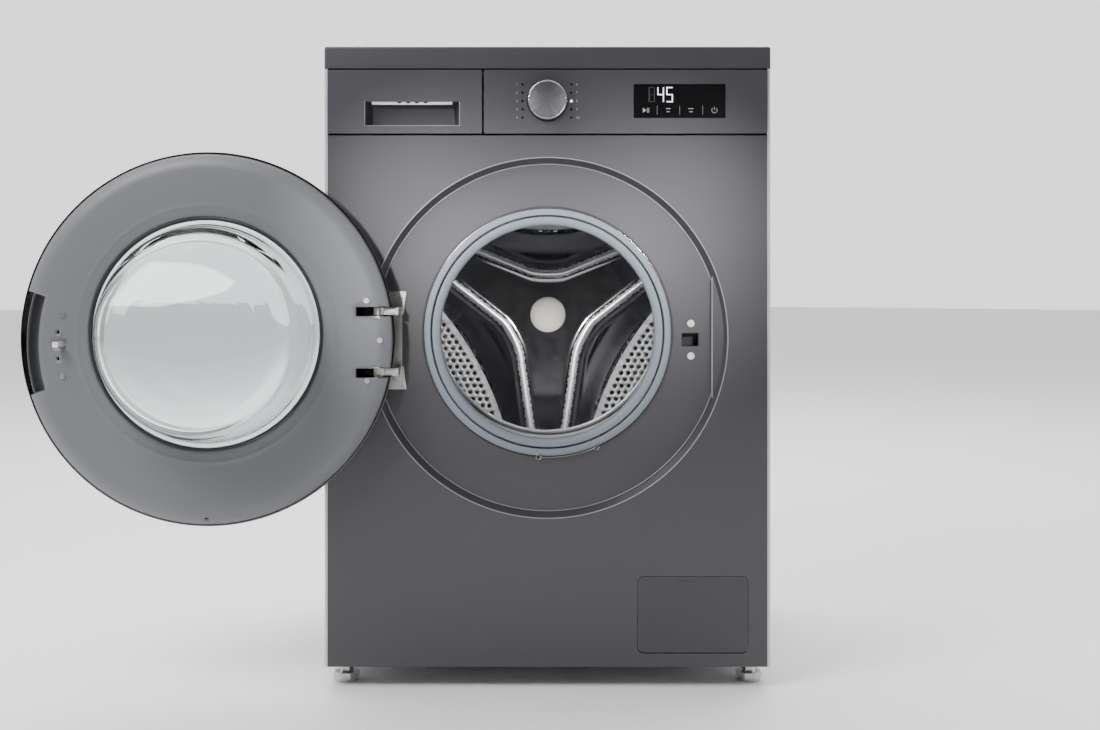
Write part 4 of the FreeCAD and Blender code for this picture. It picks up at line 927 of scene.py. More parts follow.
# ---------------------------------------------------------------- drum
@dataclass
class Drum:
    """Stainless drum: punched shell, pressed star back and hub cap."""

    frame: Frame
    radius: float = 240.0
    star_high: float = 27.0
    hub: float = 40.0
    arm: float = 59.0
    arm_taper: float = 0.143
    soft: float = 24.0
    ridge: float = 4.4
    ridge_in: float = 6.0
    ridge_wide: float = 6.0
    fold: float = 136.0
    fold_bow: float = 506.0
    hole: float = 3.5
    pitch: float = 11.5
    step: float = 3.6
    rim_margin: float = 6.0
    rim_fade: float = 34.0
    rim_share: float = 0.35
    band_drop: float = 3.5
    band_run: float = 60.0
    edge_drop: float = 11.0
    edge_run: float = 13.0
    wave: float = 1.6
    bead: float = 1.4
    bead_wide: float = 2.2
    wall: float = 0.8
    band_from: float = 13.0
    band_rows: int = 9
    band_half: int = 18
    hole_margin: float = 9.0
    petals: tuple[int, ...] = (90, 210, 330)
    arms: tuple[int, ...] = (30, 150, 270)

    def back_depth(self) -> float:
        """Y place of the drum's back plate.

        Returns:
            The place in metres.
        """
        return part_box("drum_back")[1][1] - 1.25 * MM

    def star_gap(self, x: float, z: float) -> float:
        """Distance outside the star's outline, negative inside.

        Args:
            x: across, from the drum's axis, in millimetres.
            z: up, from the drum's axis.

        Returns:
            The distance in millimetres.
        """
        best = math.hypot(x, z) - self.hub
        for turn in self.arms:
            a = math.radians(turn)
            along = x * math.cos(a) + z * math.sin(a)
            across = abs(-x * math.sin(a) + z * math.cos(a))
            if along > 0:
                gap = across - self.arm + self.arm_taper * along
            else:
                gap = math.hypot(x, z) - self.arm
            h = max(self.soft - abs(best - gap), 0.0) / self.soft
            best = min(best, gap) - h * h * self.soft * 0.25
        return best

    def petal(self, x: float, z: float) -> Flat:
        """A point's place in its own petal.

        Args:
            x: across, from the drum's axis, in millimetres.
            z: up, from the drum's axis.

        Returns:
            Distance away from the hub, and sideways.
        """
        best = (-1e9, 0.0)
        for turn in self.petals:
            a = math.radians(turn)
            u = x * math.cos(a) + z * math.sin(a)
            if u > best[0]:
                best = (u, -x * math.sin(a) + z * math.cos(a))
        return best

    def laid(self, turn: float, u: float, v: float) -> Flat:
        """Turns a place in a petal into one on the drum's back.

        Args:
            turn: the petal's angle in degrees.
            u: distance away from the hub, in millimetres.
            v: sideways place.

        Returns:
            The place across and up.
        """
        a = math.radians(turn)
        return (u * math.cos(a) - v * math.sin(a), u * math.sin(a) + v * math.cos(a))

    def fold_at(self, v: float) -> float:
        """Distance of the fold from the hub.

        Args:
            v: sideways place in the petal, in millimetres.

        Returns:
            The distance in millimetres.
        """
        return self.fold + v * v / (2 * self.fold_bow)

    def height(self, x: float, z: float) -> float:
        """How far the pressed back stands towards the door.

        Args:
            x: across, from the drum's axis, in millimetres.
            z: up, from the drum's axis.

        Returns:
            The height in millimetres.
        """
        gap = self.star_gap(x, z)
        u, v = self.petal(x, z)
        past = u - self.fold_at(v)
        rim = math.hypot(x, z)
        fade = min(max((self.radius - self.rim_margin - rim) / self.rim_fade, 0.0), 1.0)
        fade = fade * fade * (3 - 2 * fade)
        crest = self.star_high * (self.rim_share + (1 - self.rim_share) * fade)
        crest += self.ridge * math.exp(-((gap + self.ridge_in) / self.ridge_wide) ** 2)
        if gap <= 0:
            return crest * fade ** 0.5
        if past >= 0:
            return -self.band_drop * min(past / self.band_run, 1.0)
        t = min(gap / self.edge_run, 1.0)
        drop = self.edge_drop * t * t * (3 - 2 * t)
        q = gap / (gap - past)
        mid = q * q * (3 - 2 * q)
        wave = self.wave * math.sin(math.pi * min(q, 1.0)) ** 2
        bead = self.bead * math.exp(-(past / self.bead_wide) ** 2)
        return (crest - drop) * (1 - mid) * fade ** 0.5 + wave + bead

    def holes(self) -> list[Flat]:
        """Centres of the punched holes beyond each fold.

        Returns:
            The centres in millimetres from the drum's axis.
        """
        out = []
        for turn in self.petals:
            for row in range(self.band_rows):
                for k in range(-self.band_half, self.band_half + 1):
                    v = (k + (0.5 if row % 2 else 0.0)) * self.pitch
                    u = self.fold_at(v) + self.band_from + row * self.pitch * ROW_SHARE
                    x, z = self.laid(turn, u, v)
                    inside = math.hypot(x, z) < self.radius - self.hole_margin
                    if inside and self.star_gap(x, z) > self.hole_margin:
                        out.append((x, z))
        return out

    def make_back(self) -> None:
        """Pressed back plate with its star and punched bands."""
        step = self.step
        outline = circle(0, 0, self.radius - 0.4, 200)
        loops = [circle(x, z, self.hole, 10) for x, z in self.holes()]
        flat, tris = BandFill(self, step).fill(outline, loops)
        y0 = self.back_depth()
        verts = [(x * MM, y0 - self.height(x, z) * MM, self.frame.axis_z + z * MM)
                 for x, z in flat]
        made = piece("drum_back_plate", verts, tris, STAINLESS, "drum", 60)
        facing(made, lambda spot: TO_DOOR)
        for steel in (PUNCHED_LIGHT_STEEL, RIDGE_HIGHLIGHT_STEEL):
            made.data.materials.append(steel.material())
        # Painted light on one steel sheet: faces on the punched bands take the pale band steel,
        # faces on the ridges take the pale highlight steel, the flats stay dark.
        for face in made.data.polygons:
            x, z = face.center.x / MM, (face.center.z - self.frame.axis_z) / MM
            u, v = self.petal(x, z)
            gap = self.star_gap(x, z)
            if u > self.fold_at(v) and gap > 0:
                face.material_index = 1
            elif abs(gap + self.ridge_in) < self.ridge_wide:
                face.material_index = 2
        thick(made, self.wall * MM)
        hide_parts("drum_back")

    def make_shell(self) -> None:
        """Punched shell, with its rolled front."""
        lo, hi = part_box("drum_shell")
        y0 = lo[1]
        lip = rounded([(240.4, 14.5, 0), (240.4, 13, 3), (235.5, 8.8, 3), (166, 4.2, 4),
                       (158, 0.4, 3), (155.2, 0.4, 1), (155.2, 2.2, 0)], 5, False)
        ring, faces = turned([(r, d, self.frame.axis_z) for r, d in lip], y0, 160, False)
        front = piece("drum_front_ring", ring, faces, SATIN_STEEL, "drum", 50, True)
        thick(front, self.wall * MM, 0.0)
        start = y0 + 14.5 * MM
        shell = Punched(self.radius + 0.4, self.pitch, self.hole,
                        (hi[1] - 0.3 * MM - start) / MM).build(start, self.frame.axis_z)
        shell.data.materials.append(SATIN_STEEL.material())
        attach(shell, "drum")
        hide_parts("drum_shell")
        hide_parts("drum_shell")
        LOG.info("drum_punched_shell: %d faces", len(shell.data.polygons))

    def build(self) -> None:
        """Makes the whole drum."""
        self.make_back()
        self.make_shell()
        cap = rounded([(0.0, -5.2, 0), (21, -4.6, 4), (27.4, -2.2, 3), (28.2, 0.0, 0),
                       (0.0, 0.0, 0)], 6, False)
        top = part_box("hub_cap")[1][1]
        verts, faces = turned([(r, d, self.frame.axis_z) for r, d in cap], top, 96, False)
        hub = piece("drum_hub_cap", verts, faces, HUB_PLASTIC, "drum", 50, True)
        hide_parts("hub_cap")


@dataclass
class BandFill:
    """Fills the drum's back with points that are close where its relief is."""

    drum: Drum
    step: float
    hole_margin: float = 1.2
    hole_share: float = 0.93
    rim_margin: float = 2.5
    star_margin: float = 2.0
    fold_side: float = 2.4
    fold_half: int = 70

    def fill(self, outline: Sequence[Flat], holes: Sequence[Sequence[Flat]]
             ) -> tuple[list[Flat], list[tuple[int, ...]]]:
        """Triangulates the plate.

        Args:
            outline: the plate's rim.
            holes: its punched holes.

        Returns:
            Flat corners and triangles.
        """
        coords, edges = rims([outline, *holes])
        centres = [(sum(p[0] for p in h) / len(h), sum(p[1] for p in h) / len(h)) for h in holes]
        size = self.drum.pitch
        grid: dict[tuple[int, int], list[Flat]] = {}
        for c in centres:
            grid.setdefault((int(c[0] // size), int(c[1] // size)), []).append(c)

        def clear(x: float, z: float, reach: float) -> bool:
            """Whether a point is away from every hole's middle.

            Args:
                x: the point's place across.
                z: its height.
                reach: the least distance.

            Returns:
                True if no hole is near.
            """
            i, j = int(x // size), int(z // size)
            return not any(math.hypot(x - c[0], z - c[1]) < reach
                           for a in (-1, 0, 1) for b in (-1, 0, 1)
                           for c in grid.get((i + a, j + b), ()))

        limit = self.drum.radius - self.rim_margin
        fold_points = []
        for turn in self.drum.petals:
            for k in range(-self.fold_half, self.fold_half + 1):
                v = k * self.step * 0.8
                for shift in (-self.fold_side, 0.0, self.fold_side):
                    x, z = self.drum.laid(turn, self.drum.fold_at(v) + shift, v)
                    outside = self.drum.star_gap(x, z) > self.star_margin
                    if outside and math.hypot(x, z) < limit:
                        fold_points.append((x, z))
        row, z = 0, -limit
        while z < limit:
            x = -limit + (self.step / 2 if row % 2 else 0)
            while x < limit:
                if math.hypot(x, z) < limit and clear(x, z, self.drum.hole + self.hole_margin):
                    u, v = self.drum.petal(x, z)
                    past = u - self.drum.fold_at(v)
                    inside = self.drum.star_gap(x, z) <= self.star_margin
                    if inside or abs(past) > self.step * 1.3:
                        coords.append(Vector((x, z)))
                x += self.step
            z += self.step * ROW_SHARE
            row += 1
        coords += [Vector(p) for p in fold_points]
        reach = self.drum.hole * self.hole_share
        return netted(coords, edges, lambda x, z: clear(x, z, reach), 1e-6)


def facing(made: bpy.types.Object, way: Callable[[Vector], Vector]) -> None:
    """Turns a sheet's faces to look along a direction.

    Args:
        made: the sheet.
        way: gives the direction at a face's middle.
    """
    work = bmesh.new()
    work.from_mesh(made.data)
    wrong = [f for f in work.faces if f.normal.dot(way(f.calc_center_median())) < 0]
    bmesh.ops.reverse_faces(work, faces=wrong)
    loose = [v for v in work.verts if not v.link_faces]
    bmesh.ops.delete(work, geom=loose, context="VERTS")
    work.to_mesh(made.data)
    work.free()


@dataclass
class Punched:
    """Perforated cylinder: one punched tile, repeated in staggered rows and rolled up."""

    radius: float
    pitch: float
    hole: float
    length: float

    def tile(self) -> bpy.types.Mesh:
        """One tile with its hole.

        Returns:
            A mesh one pitch wide, in metres.
        """
        w, h = self.pitch / 2 * MM, self.pitch * ROW_SHARE / 2 * MM
        outer = [(w, 0), (w, h), (0, h), (-w, h), (-w, 0), (-w, -h), (0, -h), (w, -h)]
        inner = circle(0, 0, self.hole * MM, 8)
        mesh = bpy.data.meshes.new("punched_tile")
        verts = [(x, y, 0.0) for x, y in outer + inner]
        faces = [(k, (k + 1) % 8, 8 + (k + 1) % 8, 8 + k) for k in range(8)]
        mesh.from_pydata(verts, [], faces)
        return mesh

    def tree(self) -> bpy.types.NodeTree:
        """Builds the tree that repeats the tile and rolls the sheet.

        Returns:
            The node group, with named inputs for its sizes.
        """
        tree = bpy.data.node_groups.new("punched_shell", "GeometryNodeTree")
        tree.interface.new_socket("Geometry", in_out="INPUT", socket_type="NodeSocketGeometry")
        for name, kind in (("Columns", "NodeSocketInt"), ("Rows", "NodeSocketInt"),
                           ("Pitch", "NodeSocketFloat"), ("Radius", "NodeSocketFloat"),
                           ("Steel", "NodeSocketMaterial")):
            tree.interface.new_socket(name, in_out="INPUT", socket_type=kind)
        tree.interface.new_socket("Geometry", in_out="OUTPUT", socket_type="NodeSocketGeometry")
        given = add(tree, "NodeGroupInput")
        columns, pitch = given.outputs["Columns"], given.outputs["Pitch"]
        count = maths(tree, "MULTIPLY", columns, given.outputs["Rows"])
        line = add(tree, "GeometryNodeMeshLine", {"Count": count}, {"Offset": (0.0, 0.0, 0.0)})
        index = add(tree, "GeometryNodeInputIndex").outputs[0]
        row = maths(tree, "FLOOR", maths(tree, "DIVIDE", index, columns))
        column = maths(tree, "MODULO", index, columns)
        half = maths(tree, "MULTIPLY_ADD", maths(tree, "MODULO", row, 2.0), 0.5, column)
        x = maths(tree, "MULTIPLY", half, pitch)
        y = maths(tree, "MULTIPLY", row, maths(tree, "MULTIPLY", pitch, ROW_SHARE))
        spot = add(tree, "ShaderNodeCombineXYZ", {"X": x, "Y": y})
        laid = add(tree, "GeometryNodeSetPosition",
                   {"Geometry": line.outputs[0], "Position": spot.outputs[0]})
        tiles = add(tree, "GeometryNodeInstanceOnPoints",
                    {"Points": laid.outputs[0], "Instance": given.outputs["Geometry"]})
        real = add(tree, "GeometryNodeRealizeInstances", {0: tiles.outputs[0]})
        where = add(tree, "GeometryNodeInputPosition")
        axes = add(tree, "ShaderNodeSeparateXYZ", {0: where.outputs[0]})
        radius = given.outputs["Radius"]
        angle = maths(tree, "DIVIDE", axes.outputs["X"], radius)
        rx = maths(tree, "MULTIPLY", maths(tree, "COSINE", angle), radius)
        rz = maths(tree, "MULTIPLY", maths(tree, "SINE", angle), radius)
        rolled = add(tree, "ShaderNodeCombineXYZ",
                     {"X": rx, "Y": axes.outputs["Y"], "Z": rz})
        bent = add(tree, "GeometryNodeSetPosition",
                   {"Geometry": real.outputs[0], "Position": rolled.outputs[0]})
        welded = add(tree, "GeometryNodeMergeByDistance", {"Geometry": bent.outputs[0]},
                     {"Distance": 0.1 * MM})
        dressed = add(tree, "GeometryNodeSetMaterial",
                      {"Geometry": welded.outputs[0], "Material": given.outputs["Steel"]})
        add(tree, "NodeGroupOutput", {0: dressed.outputs[0]})
        return tree

    def build(self, y0: float, axis_z: float) -> bpy.types.Object:
        """Makes the shell as a plain mesh.

        Args:
            y0: where it starts, in metres.
            axis_z: height of its axis, in metres.

        Returns:
            The shell, with its wall and without a material slot.
        """
        columns = round(2 * math.pi * self.radius / self.pitch)
        true_radius = columns * self.pitch / (2 * math.pi)
        rows = int(self.length / (self.pitch * ROW_SHARE))
        values = {"Columns": columns, "Rows": rows, "Pitch": self.pitch * MM,
                  "Radius": true_radius * MM, "Steel": SATIN_STEEL.material()}
        made = grown("drum_punched_shell", self.tile(), self.tree(), values)
        squeeze = self.radius / true_radius
        stretch = self.length / (rows * self.pitch * ROW_SHARE)
        made.data.transform(Matrix.Diagonal((squeeze, stretch, squeeze, 1.0)))
        first = y0 + self.pitch * ROW_SHARE / 2 * MM * stretch
        made.data.transform(Matrix.Translation((0, first, axis_z)))
        facing(made, lambda spot: Vector((-spot.x, 0, axis_z - spot.z)))
        made.data.shade_smooth()
        made.data.materials.clear()
        thick(made, 0.8 * MM)
        return made


def grown(name: str, seed: bpy.types.Mesh, tree: bpy.types.NodeTree, values: dict
          ) -> bpy.types.Object:
    """Runs a geometry node tree on a mesh and keeps the plain result.

    Args:
        name: the result's name.
        seed: the mesh that the tree is given.
        tree: the node group.
        values: the tree's inputs by name.

    Returns:
        A new object with the result as its mesh.
    """
    holder = placed(name + "_seed", seed)
    modifier = holder.modifiers.new("grow", "NODES")
    modifier.node_group = tree
    for item in tree.interface.items_tree:
        if item.item_type == "SOCKET" and item.in_out == "INPUT" and item.name in values:
            modifier[item.identifier] = values[item.name]
    mesh = settled(holder)
    mesh.name = name
    bpy.data.objects.remove(holder)
    return placed(name, mesh)


# ---------------------------------------------------------------- gasket
@dataclass
class Gasket:
    """Grey rubber bellows between the cabinet and the tub, with its clamp wire."""

    frame: Frame
    wire: float = 0.9
    wire_ring: float = 166.6
    wall: float = 1.6
    spring_from: float = -94.0
    spring_to: float = -67.0
    clamp_deep: float = 11.2
    spring_out: float = 2.4
    spring_front: float = 0.6
    hook: float = 3.4
    hook_front: float = 1.6
    hook_lean: float = 0.5

    def build(self) -> None:
        """Makes the bellows, a black ring of painted shadow at its outer lip, and the clamp."""
        z0, z1 = self.frame.mouth_z, self.frame.axis_z
        front = rounded([(167.8, 13.7, 0), (167.6, 11.0, 1.2), (164.5, 8.9, 2.0), (158.2, 9.0, 0.8),
                         (157.6, 18.0, 0.4), (156.0, 18.0, 0.4), (155.4, 9.2, 0.8),
                         (149.5, 9.6, 3.0), (144.6, 13.0, 3.0), (144.6, 30, 4.0),
                         (150, 34.5, 3.0), (170, 34.5, 4.0), (171.5, 40, 4), (170, 46, 4),
                         (156.5, 48, 4)], 4, False)
        rows = [(r, d, z0) for r, d in front]
        rows += [(157.5, 52, z0), (160, 58, z0 + (z1 - z0) * 0.4),
                 (164, 64, z0 + (z1 - z0) * 0.85), (165.6, 67, z1), (165.6, 80, z1)]
        verts, faces = turned(rows, self.frame.front, 200, False)
        skin = piece("gasket_bellows", verts, faces, GASKET_RUBBER, None, 60, True)
        thick(skin, self.wall * MM, -1.0 if self.inward(skin) else 1.0)
        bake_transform(skin)
        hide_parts("gasket")
        # A black nylon ring in the seam between the bellows' lip and the recess: painted shadow for
        # the dark gap there.
        rim = rounded([(167.3, 12.4, 0.6), (169.7, 12.4, 0.6), (169.7, 13.9, 0.2),
                       (167.3, 13.9, 0.2)], 3)
        verts, faces = turned([(r, d, z0) for r, d in rim], self.frame.front, 200)
        bead = piece("gasket_rim_shadow_ring", verts, faces, NYLON, "cabinet", 40, True)
        self.clamp()

    def inward(self, made: bpy.types.Object) -> bool:
        """Whether the bellows' faces look towards its axis.

        Args:
            made: the bellows.

        Returns:
            True if they look inward.
        """
        face = min(made.data.polygons, key=lambda p: p.center[0])
        return face.normal[0] > 0

    def clamp(self) -> None:
        """Clamp wire with its two hooks and tension spring."""
        z, y = self.frame.mouth_z, self.frame.front + self.clamp_deep * MM
        lead, tail = math.radians(self.spring_to), math.radians(self.spring_from)
        outer = (self.wire_ring + self.spring_out) * MM
        paths = [[(u, y, z + v)
                  for u, v in arc(self.wire_ring * MM, lead, 2 * math.pi + tail, 180)],
                 [(u, y - self.spring_front * MM, z + v) for u, v in arc(outer, tail, lead, 40)]]
        hook = self.hook * MM
        for a in (lead, tail):
            cx, cz = outer * math.cos(a), z + outer * math.sin(a)
            turns = [math.radians(25 * k) for k in range(16)]
            paths.append([(cx + hook * math.cos(t),
                           y + (self.hook_lean * math.sin(t / 2) - self.hook_front) * MM,
                           cz + hook * math.sin(t)) for t in turns])
        made = wires("gasket_clamp_wire", paths, self.wire * MM, STAINLESS, "cabinet")
        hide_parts("gasket_clamp")


def wires(name: str, paths: Sequence[Sequence[Point]], radius: float, finish: Look, body: str
          ) -> bpy.types.Object:
    """Round wire along one or more paths, as one mesh.

    Args:
        name: the piece's name.
        paths: points along each wire.
        radius: of the wire, in metres.
        finish: what it is made of.
        body: the body that it moves with.

    Returns:
        The wire.
    """
    curve = bpy.data.curves.new(name, "CURVE")
    curve.dimensions = "3D"
    curve.bevel_depth = radius
    curve.bevel_resolution = 3
    curve.use_fill_caps = True
    for path in paths:
        spline = curve.splines.new("POLY")
        spline.points.add(len(path) - 1)
        for point, spot in zip(spline.points, path):
            point.co = (*spot, 1.0)
    holder = placed(name + "_path", curve)
    mesh = settled(holder)
    bpy.data.objects.remove(holder)
    mesh.name = name
    mesh.materials.clear()
    mesh.materials.append(finish.material())
    mesh.shade_smooth()
    made = placed(name, mesh)
    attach(made, body)
    LOG.info("%s: wire on %s", name, body)
    return made


# ---------------------------------------------------------------- door
@dataclass
class Door:
    """Round door: grey frame, glass bowl, outer cover and clear outer window."""

    frame: Frame
    radius: float = 246.5
    glass_up: float = 7.3
    glass_hole: float = 152.7
    face: float = 7.0
    grip_half: float = 16.3
    grip_in: float = 218.5
    grip_out: float = 235.0
    crease: float = 36.0
    crease_soft: float = 6.0
    bend: float = 0.5
    bend_from: float = 30.0
    bend_over: float = 55.0
    rim_from: float = 222.0
    rim_over: float = 22.0
    rim_fall: float = 11.2
    rim_power: float = 2.4
    seat_from: float = 156.0
    seat_over: float = 3.3
    seat_fall: float = 1.2
    bead: float = 168.3
    bead_high: float = 0.7
    bead_wide: float = 1.5
    grip_down: float = 5.0
    frame_wall: float = 2.4
    frame_out: float = 243.6
    frame_step: float = 6.0
    edge_rings: tuple[float, ...] = (225, 230, 234, 237.5, 240.5, 242.4)
    seat_rings: tuple[float, ...] = (153.8, 155.4, 165.6, 167, 168.3, 169.6, 171)
    cup_wall: float = 1.6
    arm_rows: tuple[Flat, ...] = ((-49.0, -39.0), (31.5, 41.5))

    def place(self, depth: float) -> float:
        """Y place of a depth behind the front plane, door closed.

        Args:
            depth: in millimetres.

        Returns:
            The place in metres.
        """
        return self.frame.front + depth * MM

    def turned_piece(self, name: str, outline: Sequence[Flat], up: float, finish: Look,
                     segments: int = 200,
                     bend: Callable[[float, float, float], Point] | None = None
                     ) -> bpy.types.Object:
        """A closed turned piece of the door.

        Args:
            name: its name.
            outline: (radius, depth) points in millimetres.
            up: height of its axis above the door's centre, in millimetres.
            finish: what it is made of.
            segments: steps round the circle.
            bend: changes each point before the door is opened.

        Returns:
            The piece.
        """
        axis = self.frame.ring.z + up * MM
        verts, faces = turned([(r, d, axis) for r, d in outline], self.frame.front, segments,
                              True, bend)
        return piece(name, [self.frame.opened(*v) for v in verts], faces, finish, "door", 40,
                     True)

    def height(self, x: float, z: float) -> float:
        """Depth of the frame's face.

        Args:
            x: across, from the door's centre, in millimetres.
            z: up, from the door's centre.

        Returns:
            The depth in millimetres.
        """
        r = math.hypot(x, z)
        rg = math.hypot(x, z - self.glass_up)
        depth = self.face
        if r > self.rim_from:
            t = min((r - self.rim_from) / self.rim_over, 1.0)
            depth -= self.rim_fall * t ** self.rim_power
        if rg < self.seat_from:
            t = min((self.seat_from - rg) / self.seat_over, 1.0)
            depth -= self.seat_fall * t * t
        return depth + self.bead_high * math.exp(-((rg - self.bead) / self.bead_wide) ** 2)

    def slots(self) -> list[list[Flat]]:
        """Loops cut through the frame.

        Returns:
            Loops in millimetres from the door's centre.
        """
        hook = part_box("latch_hook")
        hx = (2 * self.frame.hinge.x - (hook[0][0] + hook[1][0]) / 2) / MM
        hz = ((hook[0][2] + hook[1][2]) / 2 - self.frame.ring.z) / MM
        loops = [circle(0, self.glass_up, self.glass_hole, 200),
                 slot_loop(hx - 8, hx + 7, hz - 4.6, hz + 4.6, 1.2),
                 slot_loop(hx + 0.5, hx + 3.5, hz + 13.5, hz + 18, 0.4),
                 slot_loop(hx + 0.5, hx + 3.5, hz - 21, hz - 16.5, 0.4),
                 slot_loop(-3.2, 1.2, -237.5, -233.5, 0.5)]
        loops += [slot_loop(-270, -196.6, z0 - 1.0, z1 + 1.0, 1.0) for z0, z1 in self.arm_rows]
        half = math.radians(self.grip_half)
        grip = arc(260, -half, half, 24) + arc(self.grip_in, half, -half, 24)
        loops.append([(u, v - self.grip_down) for u, v in grip])
        return loops

    def make_frame(self) -> None:
        """Inner frame with its cuts."""
        step = self.frame_step
        outline = circle(0, 0, self.frame_out, 260)
        rings = [p for r in self.edge_rings for p in circle(0, 0, r, 220, r)]
        rings += [p for r in self.seat_rings
                  for p in circle(0, self.glass_up, r, 200, r)]
        cuts = self.slots()
        tests = [Region(loop) for loop in cuts]
        rings = [p for p in rings if not any(t.near(p[0], p[1], 0.5) for t in tests)]
        flat, tris = sheet_with_holes(outline, cuts, step, rings)
        verts = [self.frame.opened(x * MM, self.place(self.height(x, z)),
                                   self.frame.ring.z + z * MM) for x, z in flat]
        made = piece("door_frame_face", verts, tris, DOOR_ABS, "door", 50)
        facing(made, lambda spot: TO_DOOR)
        thick(made, self.frame_wall * MM)
        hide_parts("door_inner_frame")

    def make_grip(self) -> None:
        """Finger cup behind the frame's free edge."""
        half = math.radians(self.grip_half)
        section = rounded([(self.grip_in - 0.4, 5.0, 0), (self.grip_in + 0.6, -9, 4),
                           (self.grip_in + 9, -15, 7), (self.grip_out - 2, -9, 4),
                           (self.grip_out, 0.5, 0)], 6, False)
        verts, faces = [], []
        count = 40
        down = self.frame.ring.z - self.grip_down * MM
        for r, d in section:
            for k in range(count + 1):
                a = -half + 2 * half * k / count
                verts.append(self.frame.opened(r * MM * math.cos(a), self.place(d),
                                               down + r * MM * math.sin(a)))
        wide = count + 1
        for i in range(len(section) - 1):
            for k in range(count):
                at = i * wide + k
                faces.append((at, at + 1, at + wide + 1, at + wide))
        for edge in (0, count):
            faces.append(tuple(i * wide + edge for i in range(len(section))))
        # The cup takes the darkened door plastic: painted shade.
        cup = piece("door_grip_cup", verts, faces, CUP_SHADE_ABS, "door", 40)
        facing(cup, lambda spot: TO_DOOR)
        thick(cup, self.cup_wall * MM)

    def bowl_bend(self, x: float, y: float, z: float) -> Point:
        """Flattens the bowl's top, where it turns the falling water back into the drum.

        Args:
            x: a point's place across.
            y: its place in depth, door closed.
            z: its height.

        Returns:
            The point's new place.
        """
        up = (z - self.frame.ring.z) / MM - self.glass_up
        depth = (y - self.frame.front) / MM
        if depth <= self.bend_from:
            return (x, y, z)
        over = (up - self.crease) / self.crease_soft
        slope = self.crease_soft * math.log1p(math.exp(min(over, 30.0)))
        t = min((depth - self.bend_from) / self.bend_over, 1.0)
        return (x, y - self.bend * slope * t * t * (3 - 2 * t) * MM, z)

    def make_glass(self) -> None:
        """Bowl, its black seal ring and the outer window."""
        outer = rounded([(158, 4, 0), (148.2, 4.2, 1), (146.6, 6.6, 2), (145.0, 8.0, 2),
                         (141.4, 22, 4), (137.6, 36, 6), (130.5, 64, 12), (121.5, 88, 14),
                         (98, 94.6, 14), (50, 98.4, 30), (0.0, 99, 0)], 7, False)
        inner = rounded([(0.0, 94, 0), (50, 93.4, 30), (94, 89.8, 14), (115.5, 84, 14),
                         (125.2, 62, 12), (132.2, 34, 6), (136, 20, 4), (139, 4.5, 3),
                         (143, -0.6, 2), (158, -0.6, 0)], 7, False)
        bowl = self.turned_piece("door_glass_bowl", outer + inner, self.glass_up, GLASS,
                                 bend=self.bowl_bend)
        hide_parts("door_glass")
        seal = rounded([(148.6, 4.4, 0.5), (152.6, 4.4, 0.3), (152.6, 8.0, 0.8),
                        (149.4, 7.8, 0.8)], 3)
        ring = self.turned_piece("door_seal_ring", seal, self.glass_up, NYLON)
        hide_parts("door_glass_seal")
        pane = rounded([(0.0, -42, 0), (90, -41.4, 8), (150, -39.9, 5), (166.4, -38.9, 1),
                        (166.4, -36.9, 0), (176, -36.9, 0), (176, -34.8, 0), (150, -37.2, 5),
                        (90, -38.7, 8), (0.0, -39.4, 0)], 5, False)
        window = self.turned_piece("door_outer_window", pane, 0, GLASS)
        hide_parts("door_window")

    def make_cover(self) -> None:
        """Outer cover ring."""
        outer, inner = self.radius, self.radius - 2.3
        outline = rounded([(167.0, -38.4, 0.5), (169.6, -40, 1), (222, -40, 10), (237, -36, 9),
                           (inner, -27.5, 8), (outer, -16, 5), (outer, -4.6, 0.8),
                           (inner, -4.6, 0.3), (inner, -16, 4), (241.8, -26.4, 7),
                           (235.6, -33.8, 8), (221.5, -37.4, 8), (167.0, -37.4, 0)], 6)
        cover = self.turned_piece("door_cover_ring", outline, 0, PIANO, segments=240)
        self.slot_cover(cover)
        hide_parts("door_outer_cover")

    def slot_cover(self, cover: bpy.types.Object) -> None:
        """Cuts the hinge arms' slots through the cover's rim.

        Args:
            cover: the cover ring.
        """
        tools = []
        for z0, z1 in self.arm_rows:
            corners = [(x, y, z) for x in (-252.0 * MM, -196.0 * MM)
                       for y in (self.place(-29.5), self.place(20))
                       for z in (self.frame.ring.z + (z0 - 1.2) * MM,
                                 self.frame.ring.z + (z1 + 1.2) * MM)]
            mesh = bpy.data.meshes.new("arm_slot")
            mesh.from_pydata([self.frame.opened(*c) for c in corners], [],
                             [(0, 1, 3, 2), (4, 6, 7, 5), (0, 4, 5, 1), (2, 3, 7, 6),
                              (0, 2, 6, 4), (1, 5, 7, 3)])
            tools.append(placed("arm_slot", mesh))
            cutter = cover.modifiers.new("slot", "BOOLEAN")
            cutter.object = tools[-1]
            cutter.operation = "DIFFERENCE"
            cutter.solver = "EXACT"
        mesh = settled(cover)
        cover.modifiers.clear()
        cover.data = mesh
        for tool in tools:
            bpy.data.objects.remove(tool)
        mesh.shade_smooth()
        mesh.set_sharp_from_angle(angle=math.radians(40))

    def build(self) -> None:
        """Makes the whole door."""
        self.make_frame()
        self.make_grip()
        self.make_glass()
        self.make_cover()


